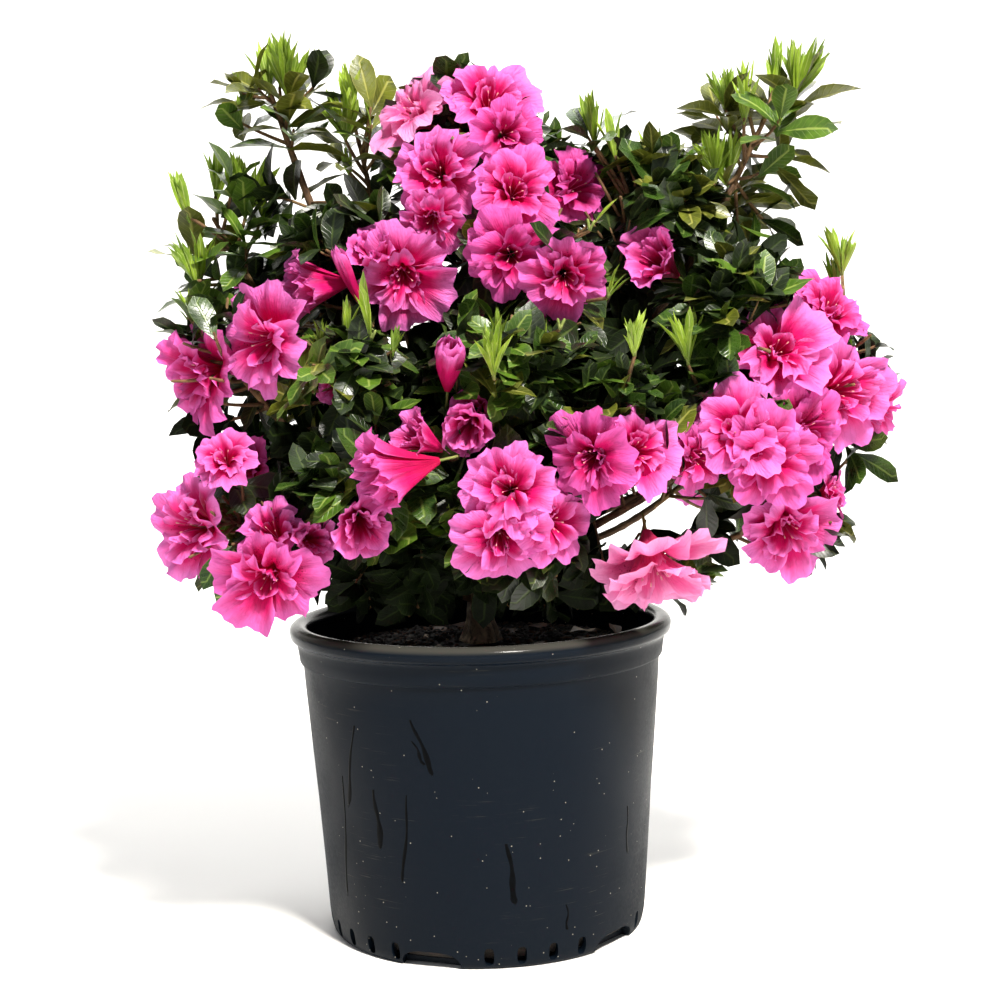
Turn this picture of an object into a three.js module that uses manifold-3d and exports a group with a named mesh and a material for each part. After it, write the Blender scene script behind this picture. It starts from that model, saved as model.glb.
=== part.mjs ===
// Azalea in a nursery pot: a black pot filled with potting mix, a short trunk with its boughs, and
// the masses of evergreen leaves, young shoots and double blooms that the boughs carry.
// Millimetres, +Z up. The origin is the centre of the pot's flat underside; the shrub's front is -Y.

import * as THREE from "three";
import { mergeVertices } from "three/addons/utils/BufferGeometryUtils.js";
import Module from "manifold-3d";

const wasm = await Module();
wasm.setup();

// ---------------------------------------------------------------- driving dimensions
const CLEARANCE = 0.3; // left between two pieces that rest on each other
const UP = new THREE.Vector3(0, 0, 1);

const POT = {
  height: 218,
  lipRadius: 133.6,
  lipEdge: 5, // from the top of the lip's round crest down to its outer edge
  lipUnder: 3, // thickness of that edge
  bandTop: 205, // where the lip's underside meets the band
  bandTopRadius: 130,
  stepHeight: 192, // lower edge of the band
  bandFootRadius: 126.5,
  wallTopRadius: 124.5,
  wallFootRadius: 112,
  footHeight: 15,
  underRadius: 107,
  wall: 2.2,
  sides: 48,
  slots: 32, // drain slots round the foot, less those that an arch takes
  slotWidth: 6.5,
  slotFrom: 3.5,
  slotTo: 14.5,
  slotTurn: 0.7, // degrees from the front to the nearest slot
  arches: 5, // low arches under the edge that let water out
  archWidth: 42,
  archHeight: 11.5,
  archSides: 10,
  archTurn: 20, // degrees from the front to the nearest arch
  archClear: 12.5, // degrees on each side of an arch without a slot
  cut: 16, // depth of the cuts for slots and arches
};
const SOIL = { level: 192, crown: 8, sides: 24, lump: 2.4, clearOfTrunk: 12 };
const TRUNK = {
  height: 100,
  flareRadius: 16,
  waistRadius: 10,
  topRadius: 8.6,
  lean: 7,
  flareShare: 0.2,
  sides: 10,
  steps: 7,
};
const BOUGH = {
  rootRadius: 3.1,
  tipRadius: 2.6,
  sides: 4,
  steps: 4,
  lowest: 0.22, // share of the trunk's height where the first bough leaves it
  highest: 0.86, // and where the last but one does; the steepest leaves from its top
  outward: 26,
  lift: 14,
  gap: 0.8, // least space between two boughs
  swings: [0, 10, -10, 20, -20, 32, -32, 44, -44, 58, -58, 74, -74, 90, -90], // degrees aside
  shifts: [0, 0.03, -0.03, 0.06, -0.06, 0.1, -0.1, 0.14, -0.14, 0.2, -0.2], // shares of the trunk's height
};
const STEM = { radius: 3, tipRadius: 2.7, sides: 4, pastCentre: 0.2, margin: 4 };
const TWIG = { radius: 1.6, sides: 3 };
const LEAF = { leaves: 6, length: 56, spread: 62, notch: 0.4, fold: 9, heart: 3 };
const YOUNG_LEAF = { leaves: 5, length: 40, spread: 20, notch: 0.3, fold: 8, heart: 5 };
const LEAF_SHARES = [1, 0.84, 0.68, 0.52]; // a leaf that has no room is tried shorter
const WHORL_SCALES = [1, 0.84, 0.7, 0.58]; // so is a whole whorl, and then it is left out
const CROSSING = 0.6; // mm3 that two sprigs of a mass may share
const CORE = { radius: 36, share: 0.8 };
const REACH_SLACK = 1.04;
const BLOOM = {
  lobes: 5,
  budSides: 6,
  openFrom: 44, // wide blooms are open, narrower ones cupped, and the narrowest are buds
  cupFrom: 30,
  depthShare: 0.5,
  cupDepth: 32,
  cupShare: 0.42,
  throatDepth: 0.42,
  ruffle: 0.16,
};
const CELL_GAP = 0.25; // half the space kept between two masses
const POT_MARGIN = 4; // foliage stays this far above the pot's lip
const POT_BESIDE = 10.4; // and this far out beside it
const LIMB_MARGIN = 2.6; // and this far from another limb's bark
const CROWN_FOOT = new THREE.Vector3(0, 0, 262); // the point that the crown spreads from

// Each mass: its centre and reach, whether light comes through it, the number of its leafy twigs, its
// blooms as [bearing, rise, distance from the centre, width] and its young shoots as [bearing, rise,
// distance]. Bearings are in degrees, anticlockwise from +X as seen from above, and rises are above
// the horizon.
const CROWN = [
  {
    name: "crest",
    at: [-4, 4, 546],
    reach: [76, 78, 74],
    twigs: 15,
    blooms: [[-158, 36, 46, 50], [-45, 46, 42, 60], [-106, -19, 70, 58]],
    shoots: [[60, 70, 50]],
  },
  {
    name: "breast",
    at: [47, -48, 466],
    reach: [74, 80, 70],
    twigs: 13,
    blooms: [[-135, 63, 57, 58], [-116, -5, 53, 58], [-70, -17, 58, 52]],
    shoots: [],
  },
  {
    name: "left_shoulder",
    at: [-74, -40, 464],
    reach: [76, 74, 62],
    twigs: 15,
    blooms: [[-43, -15, 54, 58], [-70, 16, 36, 38], [-141, -13, 49, 42], [-113, 10, 42, 24]],
    shoots: [],
  },
  {
    name: "left_flank",
    at: [-164, -60, 404],
    reach: [72, 84, 72],
    twigs: 15,
    blooms: [[-56, 9, 60, 63], [-167, -15, 24, 56]],
    shoots: [[150, 40, 62]],
  },
  {
    name: "left_skirt",
    at: [-154, -66, 292],
    reach: [78, 84, 66],
    twigs: 15,
    blooms: [[110, 50, 60, 44], [-165, 3, 36, 62], [-66, 6, 54, 50], [-75, -24, 76, 68]],
    shoots: [[170, 55, 55]],
  },
  {
    name: "apron_left",
    at: [-64, -102, 326],
    reach: [70, 78, 76],
    twigs: 15,
    blooms: [[-98, -31, 57, 42], [-79, 11, 65, 46], [-63, 32, 62, 32]],
    shoots: [],
  },
  {
    name: "apron",
    at: [19, -106, 304],
    reach: [72, 78, 72],
    twigs: 13,
    blooms: [[-88, 19, 62, 61], [-94, -20, 58, 56], [-55, -6, 58, 53]],
    shoots: [],
  },
  {
    name: "sash",
    at: [88, -106, 350],
    reach: [70, 78, 62],
    twigs: 15,
    blooms: [[-108, -8, 60, 56], [-70, -5, 52, 54]],
    shoots: [],
  },
  {
    name: "right_breast",
    at: [168, -80, 350],
    reach: [72, 80, 66],
    twigs: 15,
    blooms: [[-107, 3, 58, 62], [-70, -20, 56, 64]],
    shoots: [],
  },
  {
    name: "right_skirt",
    at: [214, -30, 288],
    reach: [74, 82, 62],
    twigs: 15,
    blooms: [[-102, -12, 52, 68], [-20, 10, 48, 48]],
    shoots: [],
  },
  {
    name: "drop",
    at: [118, -88, 264],
    reach: [62, 76, 50],
    twigs: 13,
    blooms: [[-97, 0, 42, 74]],
    shoots: [],
  },
  {
    name: "right_shoulder",
    at: [246, -24, 392],
    reach: [70, 84, 76],
    twigs: 15,
    blooms: [[-90, 63, 36, 54], [-94, -24, 61, 68], [-14, -66, 60, 44]],
    shoots: [[75, 70, 78]],
  },
  {
    name: "right_bust",
    at: [172, -70, 422],
    reach: [74, 76, 66],
    twigs: 17,
    blooms: [[-58, -24, 45, 58]],
    shoots: [[-112, 14, 62]],
  },
  {
    name: "left_bust",
    at: [-86, -90, 392],
    reach: [66, 74, 58],
    twigs: 15,
    blooms: [[-96, -45, 32, 34]],
    shoots: [[-72, 44, 60], [-118, 36, 52]],
  },
  {
    name: "heart",
    at: [24, -88, 396],
    reach: [80, 78, 60],
    twigs: 17,
    blooms: [[-128, 7, 60, 30], [-126, -32, 58, 36]],
    shoots: [[-100, 18, 66], [-50, 10, 66]],
  },
  {
    name: "upper_right",
    at: [113, -8, 492],
    reach: [76, 78, 74],
    twigs: 17,
    blooms: [[-157, 19, 46, 54], [-74, -24, 48, 46], [-56, -50, 50, 44]],
    shoots: [[-150, 70, 74], [30, 70, 62]],
  },
  {
    name: "left_plume",
    open: true,
    at: [-132, 6, 576],
    reach: [60, 56, 56],
    twigs: 15,
    blooms: [],
    shoots: [[-165, 68, 40], [20, 72, 42]],
  },
  {
    name: "inner_plume",
    open: true,
    at: [-74, 20, 540],
    reach: [52, 62, 66],
    twigs: 13,
    blooms: [],
    shoots: [[-120, 72, 62], [60, 70, 60]],
  },
  {
    name: "right_plume",
    open: true,
    at: [200, -8, 550],
    reach: [66, 60, 64],
    twigs: 15,
    blooms: [],
    shoots: [[30, 66, 58], [150, 62, 52], [-128, 14, 52]],
  },
  {
    name: "left_spray",
    open: true,
    at: [-172, 14, 488],
    reach: [64, 74, 70],
    twigs: 15,
    blooms: [],
    shoots: [[120, 66, 60], [-165, 30, 58]],
  },
  {
    name: "back_crest",
    at: [30, 100, 516],
    reach: [84, 80, 76],
    twigs: 15,
    blooms: [[70, 20, 58, 62], [130, 35, 56, 58]],
    shoots: [[100, 70, 66]],
  },
  {
    name: "back_left",
    at: [-120, 112, 430],
    reach: [84, 80, 84],
    twigs: 17,
    blooms: [[150, 10, 62, 62], [105, 28, 60, 60]],
    shoots: [[120, 60, 74]],
  },
  {
    name: "back_right",
    at: [150, 104, 440],
    reach: [84, 80, 84],
    twigs: 17,
    blooms: [[30, 12, 62, 62], [78, 28, 60, 60]],
    shoots: [[50, 60, 74]],
  },
  {
    name: "back_heart",
    at: [14, 160, 396],
    reach: [84, 76, 80],
    twigs: 15,
    blooms: [[112, 6, 58, 64], [60, -10, 58, 60]],
    shoots: [[88, 48, 66]],
  },
  {
    name: "back_left_skirt",
    at: [-142, 96, 308],
    reach: [80, 80, 66],
    twigs: 15,
    blooms: [[160, -6, 54, 64], [110, 6, 56, 62]],
    shoots: [],
  },
  {
    name: "back_right_skirt",
    at: [168, 86, 310],
    reach: [80, 80, 70],
    twigs: 15,
    blooms: [[28, 0, 56, 64], [78, -6, 56, 62]],
    shoots: [],
  },
  {
    name: "back_skirt",
    at: [10, 176, 296],
    reach: [80, 66, 60],
    twigs: 15,
    blooms: [[120, 4, 44, 66], [52, -8, 50, 60]],
    shoots: [],
  },
];

// ---------------------------------------------------------------- tools
/** A seeded stream of numbers from 0 to 1. */
function seeded(seed) {
  let state = seed >>> 0;
  return () => {
    state = (Math.imul(state, 1664525) + 1013904223) >>> 0;
    return state / 4294967296;
  };
}

/** A unit vector from a bearing and a rise in degrees. */
function heading(bearing, rise) {
  const b = THREE.MathUtils.degToRad(bearing);
  const r = THREE.MathUtils.degToRad(rise);
  return new THREE.Vector3(Math.cos(r) * Math.cos(b), Math.cos(r) * Math.sin(b), Math.sin(r));
}

/** Two unit vectors square to a direction, one level and one upright, right-handed with it. */
function frameOf(direction) {
  const helper = Math.abs(direction.z) > 0.97 ? new THREE.Vector3(0, 1, 0) : UP;
  const across = new THREE.Vector3().crossVectors(helper, direction).normalize();
  const above = new THREE.Vector3().crossVectors(direction, across);
  return { across, above };
}

/** A way off a direction by an angle, turned about it by another. */
function fanned(direction, spread, turn) {
  const { across, above } = frameOf(direction);
  return direction
    .clone()
    .multiplyScalar(Math.cos(spread))
    .addScaledVector(across, Math.sin(spread) * Math.cos(turn))
    .addScaledVector(above, Math.sin(spread) * Math.sin(turn))
    .normalize();
}

/** A closed geometry as a solid. */
function solidOf(geometry) {
  const bare = new THREE.BufferGeometry().setAttribute("position", geometry.getAttribute("position"));
  if (geometry.index) bare.setIndex(geometry.index);
  const merged = mergeVertices(bare, 1e-4);
  const corners = merged.index.array;
  const kept = [];
  for (let i = 0; i < corners.length; i += 3) {
    const [a, b, c] = [corners[i], corners[i + 1], corners[i + 2]];
    if (a !== b && b !== c && c !== a) kept.push(a, b, c);
  }
  const mesh = new wasm.Mesh({
    numProp: 3,
    vertProperties: merged.attributes.position.array,
    triVerts: new Uint32Array(kept),
  });
  return new wasm.Manifold(mesh);
}

/** A solid's largest body as a geometry, so that a loose scrap or a sealed hollow is left out. */
function geometryOf(solid) {
  const bodies = solid.decompose().sort((a, b) => b.volume() - a.volume());
  const mesh = bodies[0].getMesh();
  const places = new Float32Array(mesh.numVert * 3);
  for (let i = 0; i < mesh.numVert; i++) {
    const first = i * mesh.numProp;
    places.set(mesh.vertProperties.subarray(first, first + 3), i * 3);
  }
  return new THREE.BufferGeometry()
    .setAttribute("position", new THREE.BufferAttribute(places, 3))
    .setIndex(new THREE.BufferAttribute(mesh.triVerts, 1));
}

/** Moves every corner of a geometry to the place that a function gives for it. */
function reshaped(geometry, placeOf) {
  const corners = geometry.getAttribute("position");
  for (let i = 0; i < corners.count; i++) {
    const moved = placeOf(corners.getX(i), corners.getY(i), corners.getZ(i));
    corners.setXYZ(i, moved.x, moved.y, moved.z);
  }
  return geometry;
}

/** A limb of round section along a curve, closed flat at both ends. */
function limbGeometry(curve, radiusAt, sides, steps) {
  const { across } = frameOf(curve.getTangent(0));
  const corners = [];
  for (let step = 0; step <= steps; step++) {
    const t = step / steps;
    const along = curve.getTangent(t);
    const side = across.clone().addScaledVector(along, -across.dot(along)).normalize();
    const over = new THREE.Vector3().crossVectors(along, side);
    for (let i = 0; i < sides; i++) {
      const turn = (Math.PI * 2 * i) / sides;
      const out = side.clone().multiplyScalar(Math.cos(turn)).addScaledVector(over, Math.sin(turn));
      corners.push(curve.getPoint(t).addScaledVector(out, radiusAt(t)));
    }
  }
  const faces = [];
  for (let step = 0; step < steps; step++) {
    for (let i = 0; i < sides; i++) {
      const [a, b] = [step * sides + i, step * sides + ((i + 1) % sides)];
      faces.push(a, b, b + sides, a, b + sides, a + sides);
    }
  }
  const last = steps * sides;
  for (let i = 1; i < sides - 1; i++) {
    faces.push(0, i + 1, i, last, last + i, last + i + 1);
  }
  return new THREE.BufferGeometry().setFromPoints(corners).setIndex(faces);
}

function taper(from, to) {
  return (t) => from + (to - from) * t;
}

// ---------------------------------------------------------------- pot and potting mix
function lathed(rings, sides) {
  const profile = rings.map(([radius, height]) => new THREE.Vector2(radius, height));
  return new THREE.LatheGeometry(profile, sides).rotateX(Math.PI / 2);
}

function potSolid() {
  const p = POT;
  const crestRadius = p.lipRadius - 8;
  const mouthRadius = p.wallTopRadius - p.wall;
  const shell = lathed(
    [
      [0, 0],
      [p.underRadius, 0],
      [p.underRadius + 3, 2.5],
      [p.wallFootRadius, p.footHeight],
      [p.wallTopRadius, p.stepHeight - 1.5],
      [p.bandFootRadius, p.stepHeight],
      [p.bandTopRadius, p.bandTop],
      [p.lipRadius - 1, p.height - p.lipEdge - p.lipUnder],
      [p.lipRadius, p.height - p.lipEdge],
      [crestRadius, p.height],
      [mouthRadius, p.bandTop],
      [p.wallFootRadius - p.wall, p.footHeight],
      [p.underRadius - p.wall, p.wall + 1],
      [0, p.wall + 1],
    ],
    p.sides,
  );
  const cutters = [];
  const turned = (bearing) => THREE.MathUtils.degToRad(bearing - 90);
  const arches = Array.from({ length: p.arches }, (_, i) => (360 * i) / p.arches - p.archTurn);
  for (const bearing of arches) {
    const arch = new THREE.CylinderGeometry(1, 1, p.cut / 2, p.archSides);
    arch.rotateZ(Math.PI / 2).scale(1, p.archWidth / 2, p.archHeight);
    cutters.push(solidOf(arch.translate(p.underRadius + 2, 0, 0).rotateZ(turned(bearing))));
  }
  for (let i = 0; i < p.slots; i++) {
    const bearing = p.slotTurn + (360 * i) / p.slots;
    const aside = arches.map((arch) => Math.abs(((bearing - arch + 540) % 360) - 180));
    if (Math.min(...aside) < p.archClear) continue;
    const slot = new THREE.BoxGeometry(p.cut, p.slotWidth, p.slotTo - p.slotFrom);
    slot.translate(p.underRadius + 2, 0, (p.slotFrom + p.slotTo) / 2);
    cutters.push(solidOf(slot.rotateZ(turned(bearing))));
  }
  return solidOf(shell).subtract(wasm.Manifold.union(cutters));
}

function soilSolid() {
  const p = POT;
  const inner = p.wall + CLEARANCE;
  const share = (SOIL.level - p.footHeight) / (p.bandTop - p.footHeight);
  const edge = p.wallFootRadius - inner + (p.wallTopRadius - p.wallFootRadius) * share;
  const top = SOIL.level + SOIL.crown;
  const random = seeded(7);
  const fill = lathed(
    [
      [0, p.wall + 1 + CLEARANCE],
      [p.underRadius - inner - 1, p.wall + 1 + CLEARANCE],
      [p.wallFootRadius - inner, p.footHeight],
      [edge, SOIL.level],
      [edge * 0.84, SOIL.level + 2],
      [edge * 0.5, SOIL.level + SOIL.crown * 0.6],
      [TRUNK.flareRadius + SOIL.clearOfTrunk * 0.6, top],
      [0, top],
    ],
    SOIL.sides,
  );
  fill.deleteAttribute("normal").deleteAttribute("uv");
  const lumpy = reshaped(mergeVertices(fill, 1e-3), (x, y, z) => {
    const onTop = z > SOIL.level + 1 && Math.hypot(x, y) > TRUNK.flareRadius + SOIL.clearOfTrunk;
    const bump = (random() - 0.5) * 2 * SOIL.lump;
    return { x, y, z: onTop ? z + bump : z };
  });
  return solidOf(lumpy);
}

// ---------------------------------------------------------------- trunk and boughs
const trunkFoot = SOIL.level + SOIL.crown + CLEARANCE;

function trunkLine(height) {
  return new THREE.QuadraticBezierCurve3(
    new THREE.Vector3(0, 0, trunkFoot),
    new THREE.Vector3(0, 0, trunkFoot + height / 2),
    new THREE.Vector3(TRUNK.lean, TRUNK.lean * 0.4, trunkFoot + height),
  );
}

function trunkRadius(t) {
  const flare = Math.max(0, 1 - t / TRUNK.flareShare) ** 2;
  const shaft = TRUNK.waistRadius + (TRUNK.topRadius - TRUNK.waistRadius) * t;
  return shaft + (TRUNK.flareRadius - TRUNK.waistRadius) * flare;
}

/** The trunk, or the trunk with a little room round it. */
function trunkSolid(room) {
  const line = trunkLine(TRUNK.height + room);
  return solidOf(limbGeometry(line, (t) => trunkRadius(t) + room, TRUNK.sides, TRUNK.steps));
}

/** Places along a limb with the radius there. */
function barkAlong(curve, radiusAt, count) {
  return Array.from({ length: count + 1 }, (_, i) => ({
    point: curve.getPoint(i / count),
    radius: radiusAt(i / count),
  }));
}

function barkGap(one, other) {
  let gap = Infinity;
  for (const a of one) {
    for (const b of other) {
      gap = Math.min(gap, a.point.distanceTo(b.point) - a.radius - b.radius);
    }
  }
  return gap;
}

// The space between the masses is shared out by flat walls, as soap bubbles share theirs: a mass with
// a longer reach takes more of it, and a point belongs to the mass whose power over it is greatest.
const sites = CROWN.map((mass) => {
  const mean = (mass.reach[0] + mass.reach[1] + mass.reach[2]) / 3;
  return { centre: new THREE.Vector3(...mass.at), weight: mean * mean };
});

/** How far a point lies inside the walls of a mass's own space, and the way in from the nearest wall. */
function roomAt(point, number) {
  const own = sites[number];
  const power = point.distanceToSquared(own.centre) - own.weight;
  let room = Infinity;
  let nearest = own;
  sites.forEach((site, i) => {
    if (i === number) return;
    const other = point.distanceToSquared(site.centre) - site.weight;
    const distance = (other - power) / (2 * site.centre.distanceTo(own.centre));
    if (distance < room) {
      room = distance;
      nearest = site;
    }
  });
  return { room, inward: own.centre.clone().sub(nearest.centre).normalize() };
}

/** The stem of a mass: it starts where the bough's tip ends, and runs on a little past the centre. */
function stemOf(number) {
  const mass = CROWN[number];
  const centre = sites[number].centre;
  const way = centre.clone().sub(CROWN_FOOT).normalize().addScaledVector(UP, 0.3).normalize();
  const reach = new THREE.Vector3(...mass.reach);
  const depth = 1 / way.clone().divide(reach).length();
  let entry = centre.clone().addScaledVector(way, -0.2 * depth);
  for (let share = 0.25; share < 0.7; share += 0.05) {
    const further = centre.clone().addScaledVector(way, -share * depth);
    if (roomAt(further, number).room < STEM.margin) break;
    entry = further;
  }
  const foot = entry.clone().addScaledVector(way, CLEARANCE);
  const end = centre.clone().addScaledVector(way, STEM.pastCentre * depth);
  const line = new THREE.LineCurve3(foot, end);
  return { entry, way, line, bark: barkAlong(line, () => STEM.radius, 12) };
}

const stems = CROWN.map((_, i) => stemOf(i));
const boughRadius = taper(BOUGH.rootRadius, BOUGH.tipRadius);

/** A bough's centre line from the trunk to its mass, leaving the trunk at a share of its height. */
function boughLine(stem, share, swing) {
  const root = trunkLine(TRUNK.height).getPoint(share);
  const level = stem.entry.clone().sub(root).setZ(0);
  const outward = Math.min(BOUGH.outward, level.length() * 0.6);
  level.normalize().applyAxisAngle(UP, THREE.MathUtils.degToRad(swing));
  const first = root.clone().addScaledVector(level, outward).addScaledVector(UP, BOUGH.lift);
  const back = stem.entry.distanceTo(root) * 0.32;
  const last = stem.entry.clone().addScaledVector(stem.way, -back);
  return new THREE.CubicBezierCurve3(root, first, last, stem.entry);
}

/** All the boughs, the flattest leaving the trunk lowest. Each swings aside until it clears the others. */
function boughLines() {
  const steepness = stems.map(({ entry }) => (entry.z - CROWN_FOOT.z) / Math.hypot(entry.x, entry.y));
  const order = CROWN.map((_, i) => i).sort((a, b) => steepness[a] - steepness[b]);
  const lines = [];
  const barks = [];
  const top = trunkFoot + TRUNK.height;
  const sunk = TRUNK.topRadius - BOUGH.rootRadius; // nearer the trunk's middle than this, no bough shows
  order.forEach((number, rank) => {
    let best = { gap: -Infinity };
    for (const swing of BOUGH.swings) {
      for (const shift of BOUGH.shifts) {
        const even = BOUGH.lowest + ((BOUGH.highest - BOUGH.lowest) * rank) / (order.length - 2);
        const side = THREE.MathUtils.clamp(even + shift, BOUGH.lowest, BOUGH.highest);
        const share = rank < order.length - 1 ? side : 1;
        const line = boughLine(stems[number], share, swing);
        const axis = trunkLine(TRUNK.height).getPoint(share);
        const bark = barkAlong(line, boughRadius, 50).filter(
          ({ point }) => point.z > top || Math.hypot(point.x - axis.x, point.y - axis.y) > sunk,
        );
        const others = [...barks, ...stems.filter((_, i) => i !== number).map((stem) => stem.bark)];
        const gap = Math.min(...others.map((other) => barkGap(bark, other)), BOUGH.gap);
        if (gap > best.gap) best = { gap, line, bark };
      }
      if (best.gap >= BOUGH.gap) break;
    }
    lines[number] = best.line;
    barks.push(best.bark);
  });
  return lines;
}

// ---------------------------------------------------------------- foliage
/**
 * A sprig: a three-sided twig from its start to its hub that opens there into a ring of points and is
 * closed over by a last point. With the ring's points far and near by turns it is a whorl of leaves,
 * and with a wavy ring and its last point set deep it is a flower.
 */
function sprigGeometry({ start, hub, ring, last }) {
  const direction = hub.clone().sub(start).normalize();
  const corners = [start, hub].flatMap((middle) =>
    [0, 1, 2].map((i) => {
      const out = fanned(direction, Math.PI / 2, (Math.PI * 2 * i) / TWIG.sides);
      return middle.clone().addScaledVector(out, TWIG.radius);
    }),
  );
  const count = ring.length;
  const [ringFrom, over] = [2 * TWIG.sides, 2 * TWIG.sides + count];
  const cornerBy = (j) => TWIG.sides + (Math.round((j * TWIG.sides) / count) % TWIG.sides);
  const faces = [0, 2, 1];
  for (let i = 0; i < TWIG.sides; i++) {
    const next = (i + 1) % TWIG.sides;
    faces.push(i, next, next + TWIG.sides, i, next + TWIG.sides, i + TWIG.sides);
  }
  for (let j = 0; j < count; j++) {
    const [here, next] = [ringFrom + j, ringFrom + ((j + 1) % count)];
    const [corner, nextCorner] = [cornerBy(j), cornerBy(j + 1)];
    faces.push(corner, next, here, here, next, over);
    if (corner !== nextCorner) faces.push(corner, nextCorner, next);
  }
  return new THREE.BufferGeometry().setFromPoints([...corners, ...ring, last]).setIndex(faces);
}

/** The ring of a whorl of leaves: their tips, each as far out as it has room, and the notches between. */
function whorlRing(hub, direction, size, scale, hasRoom, random) {
  const leaves = Array.from({ length: size.leaves }, () => {
    const spread = THREE.MathUtils.degToRad(size.spread * (0.85 + 0.3 * random()));
    return { spread, length: size.length * scale * (0.86 + 0.28 * random()) };
  });
  const turnOf = (i) => (Math.PI * 2 * i) / leaves.length;
  const tips = leaves.map(({ spread, length }, i) => {
    const way = fanned(direction, spread, turnOf(i));
    for (const share of LEAF_SHARES) {
      const tip = hub.clone().addScaledVector(way, length * share);
      if (hasRoom(tip) && hasRoom(hub.clone().lerp(tip, 0.6))) return tip;
    }
    return hub.clone().addScaledVector(way, length * size.notch);
  });
  return tips.flatMap((tip, i) => {
    const spread = THREE.MathUtils.degToRad(size.spread + size.fold);
    const way = fanned(direction, spread, turnOf(i + 0.5));
    return [tip, hub.clone().addScaledVector(way, size.length * scale * size.notch)];
  });
}

function bloomDepth(width) {
  return width >= BLOOM.openFrom ? width * BLOOM.depthShare : BLOOM.cupDepth;
}

/** The ring and last point of a bloom: an open trumpet with ruffled lobes, a half-open cup, or a bud. */
function bloomRing({ seat, direction, width, turn }) {
  const open = width >= BLOOM.openFrom;
  const isBud = width < BLOOM.cupFrom;
  const depth = bloomDepth(width);
  const count = isBud ? BLOOM.budSides : BLOOM.lobes * 2;
  const radius = width * (open ? 0.5 : BLOOM.cupShare);
  const height = isBud ? depth * 0.55 : depth;
  const { across, above } = frameOf(direction);
  const ring = Array.from({ length: count }, (_, j) => {
    const wave = isBud ? 0 : Math.cos(Math.PI * j);
    const angle = (Math.PI * 2 * j) / count;
    const spread = radius * (0.92 + 0.08 * wave * Math.cos(turn + 2 * angle));
    const ruffle = depth * BLOOM.ruffle * wave * (open ? -1 : 0.4);
    return seat
      .clone()
      .addScaledVector(across, spread * Math.cos(angle))
      .addScaledVector(above, spread * Math.sin(angle))
      .addScaledVector(direction, height + ruffle);
  });
  const last = seat.clone().addScaledVector(direction, isBud ? depth : depth * BLOOM.throatDepth);
  return { ring, last };
}

/** A bloom of a mass, moved in from the walls of the mass's space until all of it is inside. */
function settledBloom(number, [bearing, rise, distance, width], turn) {
  const { centre } = sites[number];
  const out = heading(bearing, rise);
  const middle = centre.clone().addScaledVector(out, distance);
  const spreading = middle.clone().sub(CROWN_FOOT).normalize();
  const direction = out.multiplyScalar(0.65).addScaledVector(spreading, 0.4).normalize();
  const seat = middle.clone().addScaledVector(direction, -bloomDepth(width) * 0.8);
  const bloom = { seat, width, direction, turn };
  for (let round = 0; round < 20; round++) {
    const { ring, last } = bloomRing(bloom);
    const places = [...ring, last, seat].map((point) => roomAt(point, number));
    const tightest = places.reduce((a, b) => (b.room < a.room ? b : a));
    if (tightest.room > CELL_GAP) break;
    seat.addScaledVector(tightest.inward, CELL_GAP - tightest.room + 0.1);
  }
  return bloom;
}

/** The crowded middle of a dense mass, as large as its own space and the limbs beside it let it be. */
function coreSolid(number, near) {
  const { centre } = sites[number];
  const gaps = near.map((bark) => bark.point.distanceTo(centre) - bark.radius - LIMB_MARGIN);
  const radius = Math.min(CORE.radius, roomAt(centre, number).room * CORE.share, ...gaps);
  const core = new THREE.IcosahedronGeometry(radius, 0);
  return solidOf(core.translate(centre.x, centre.y, centre.z));
}

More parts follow.
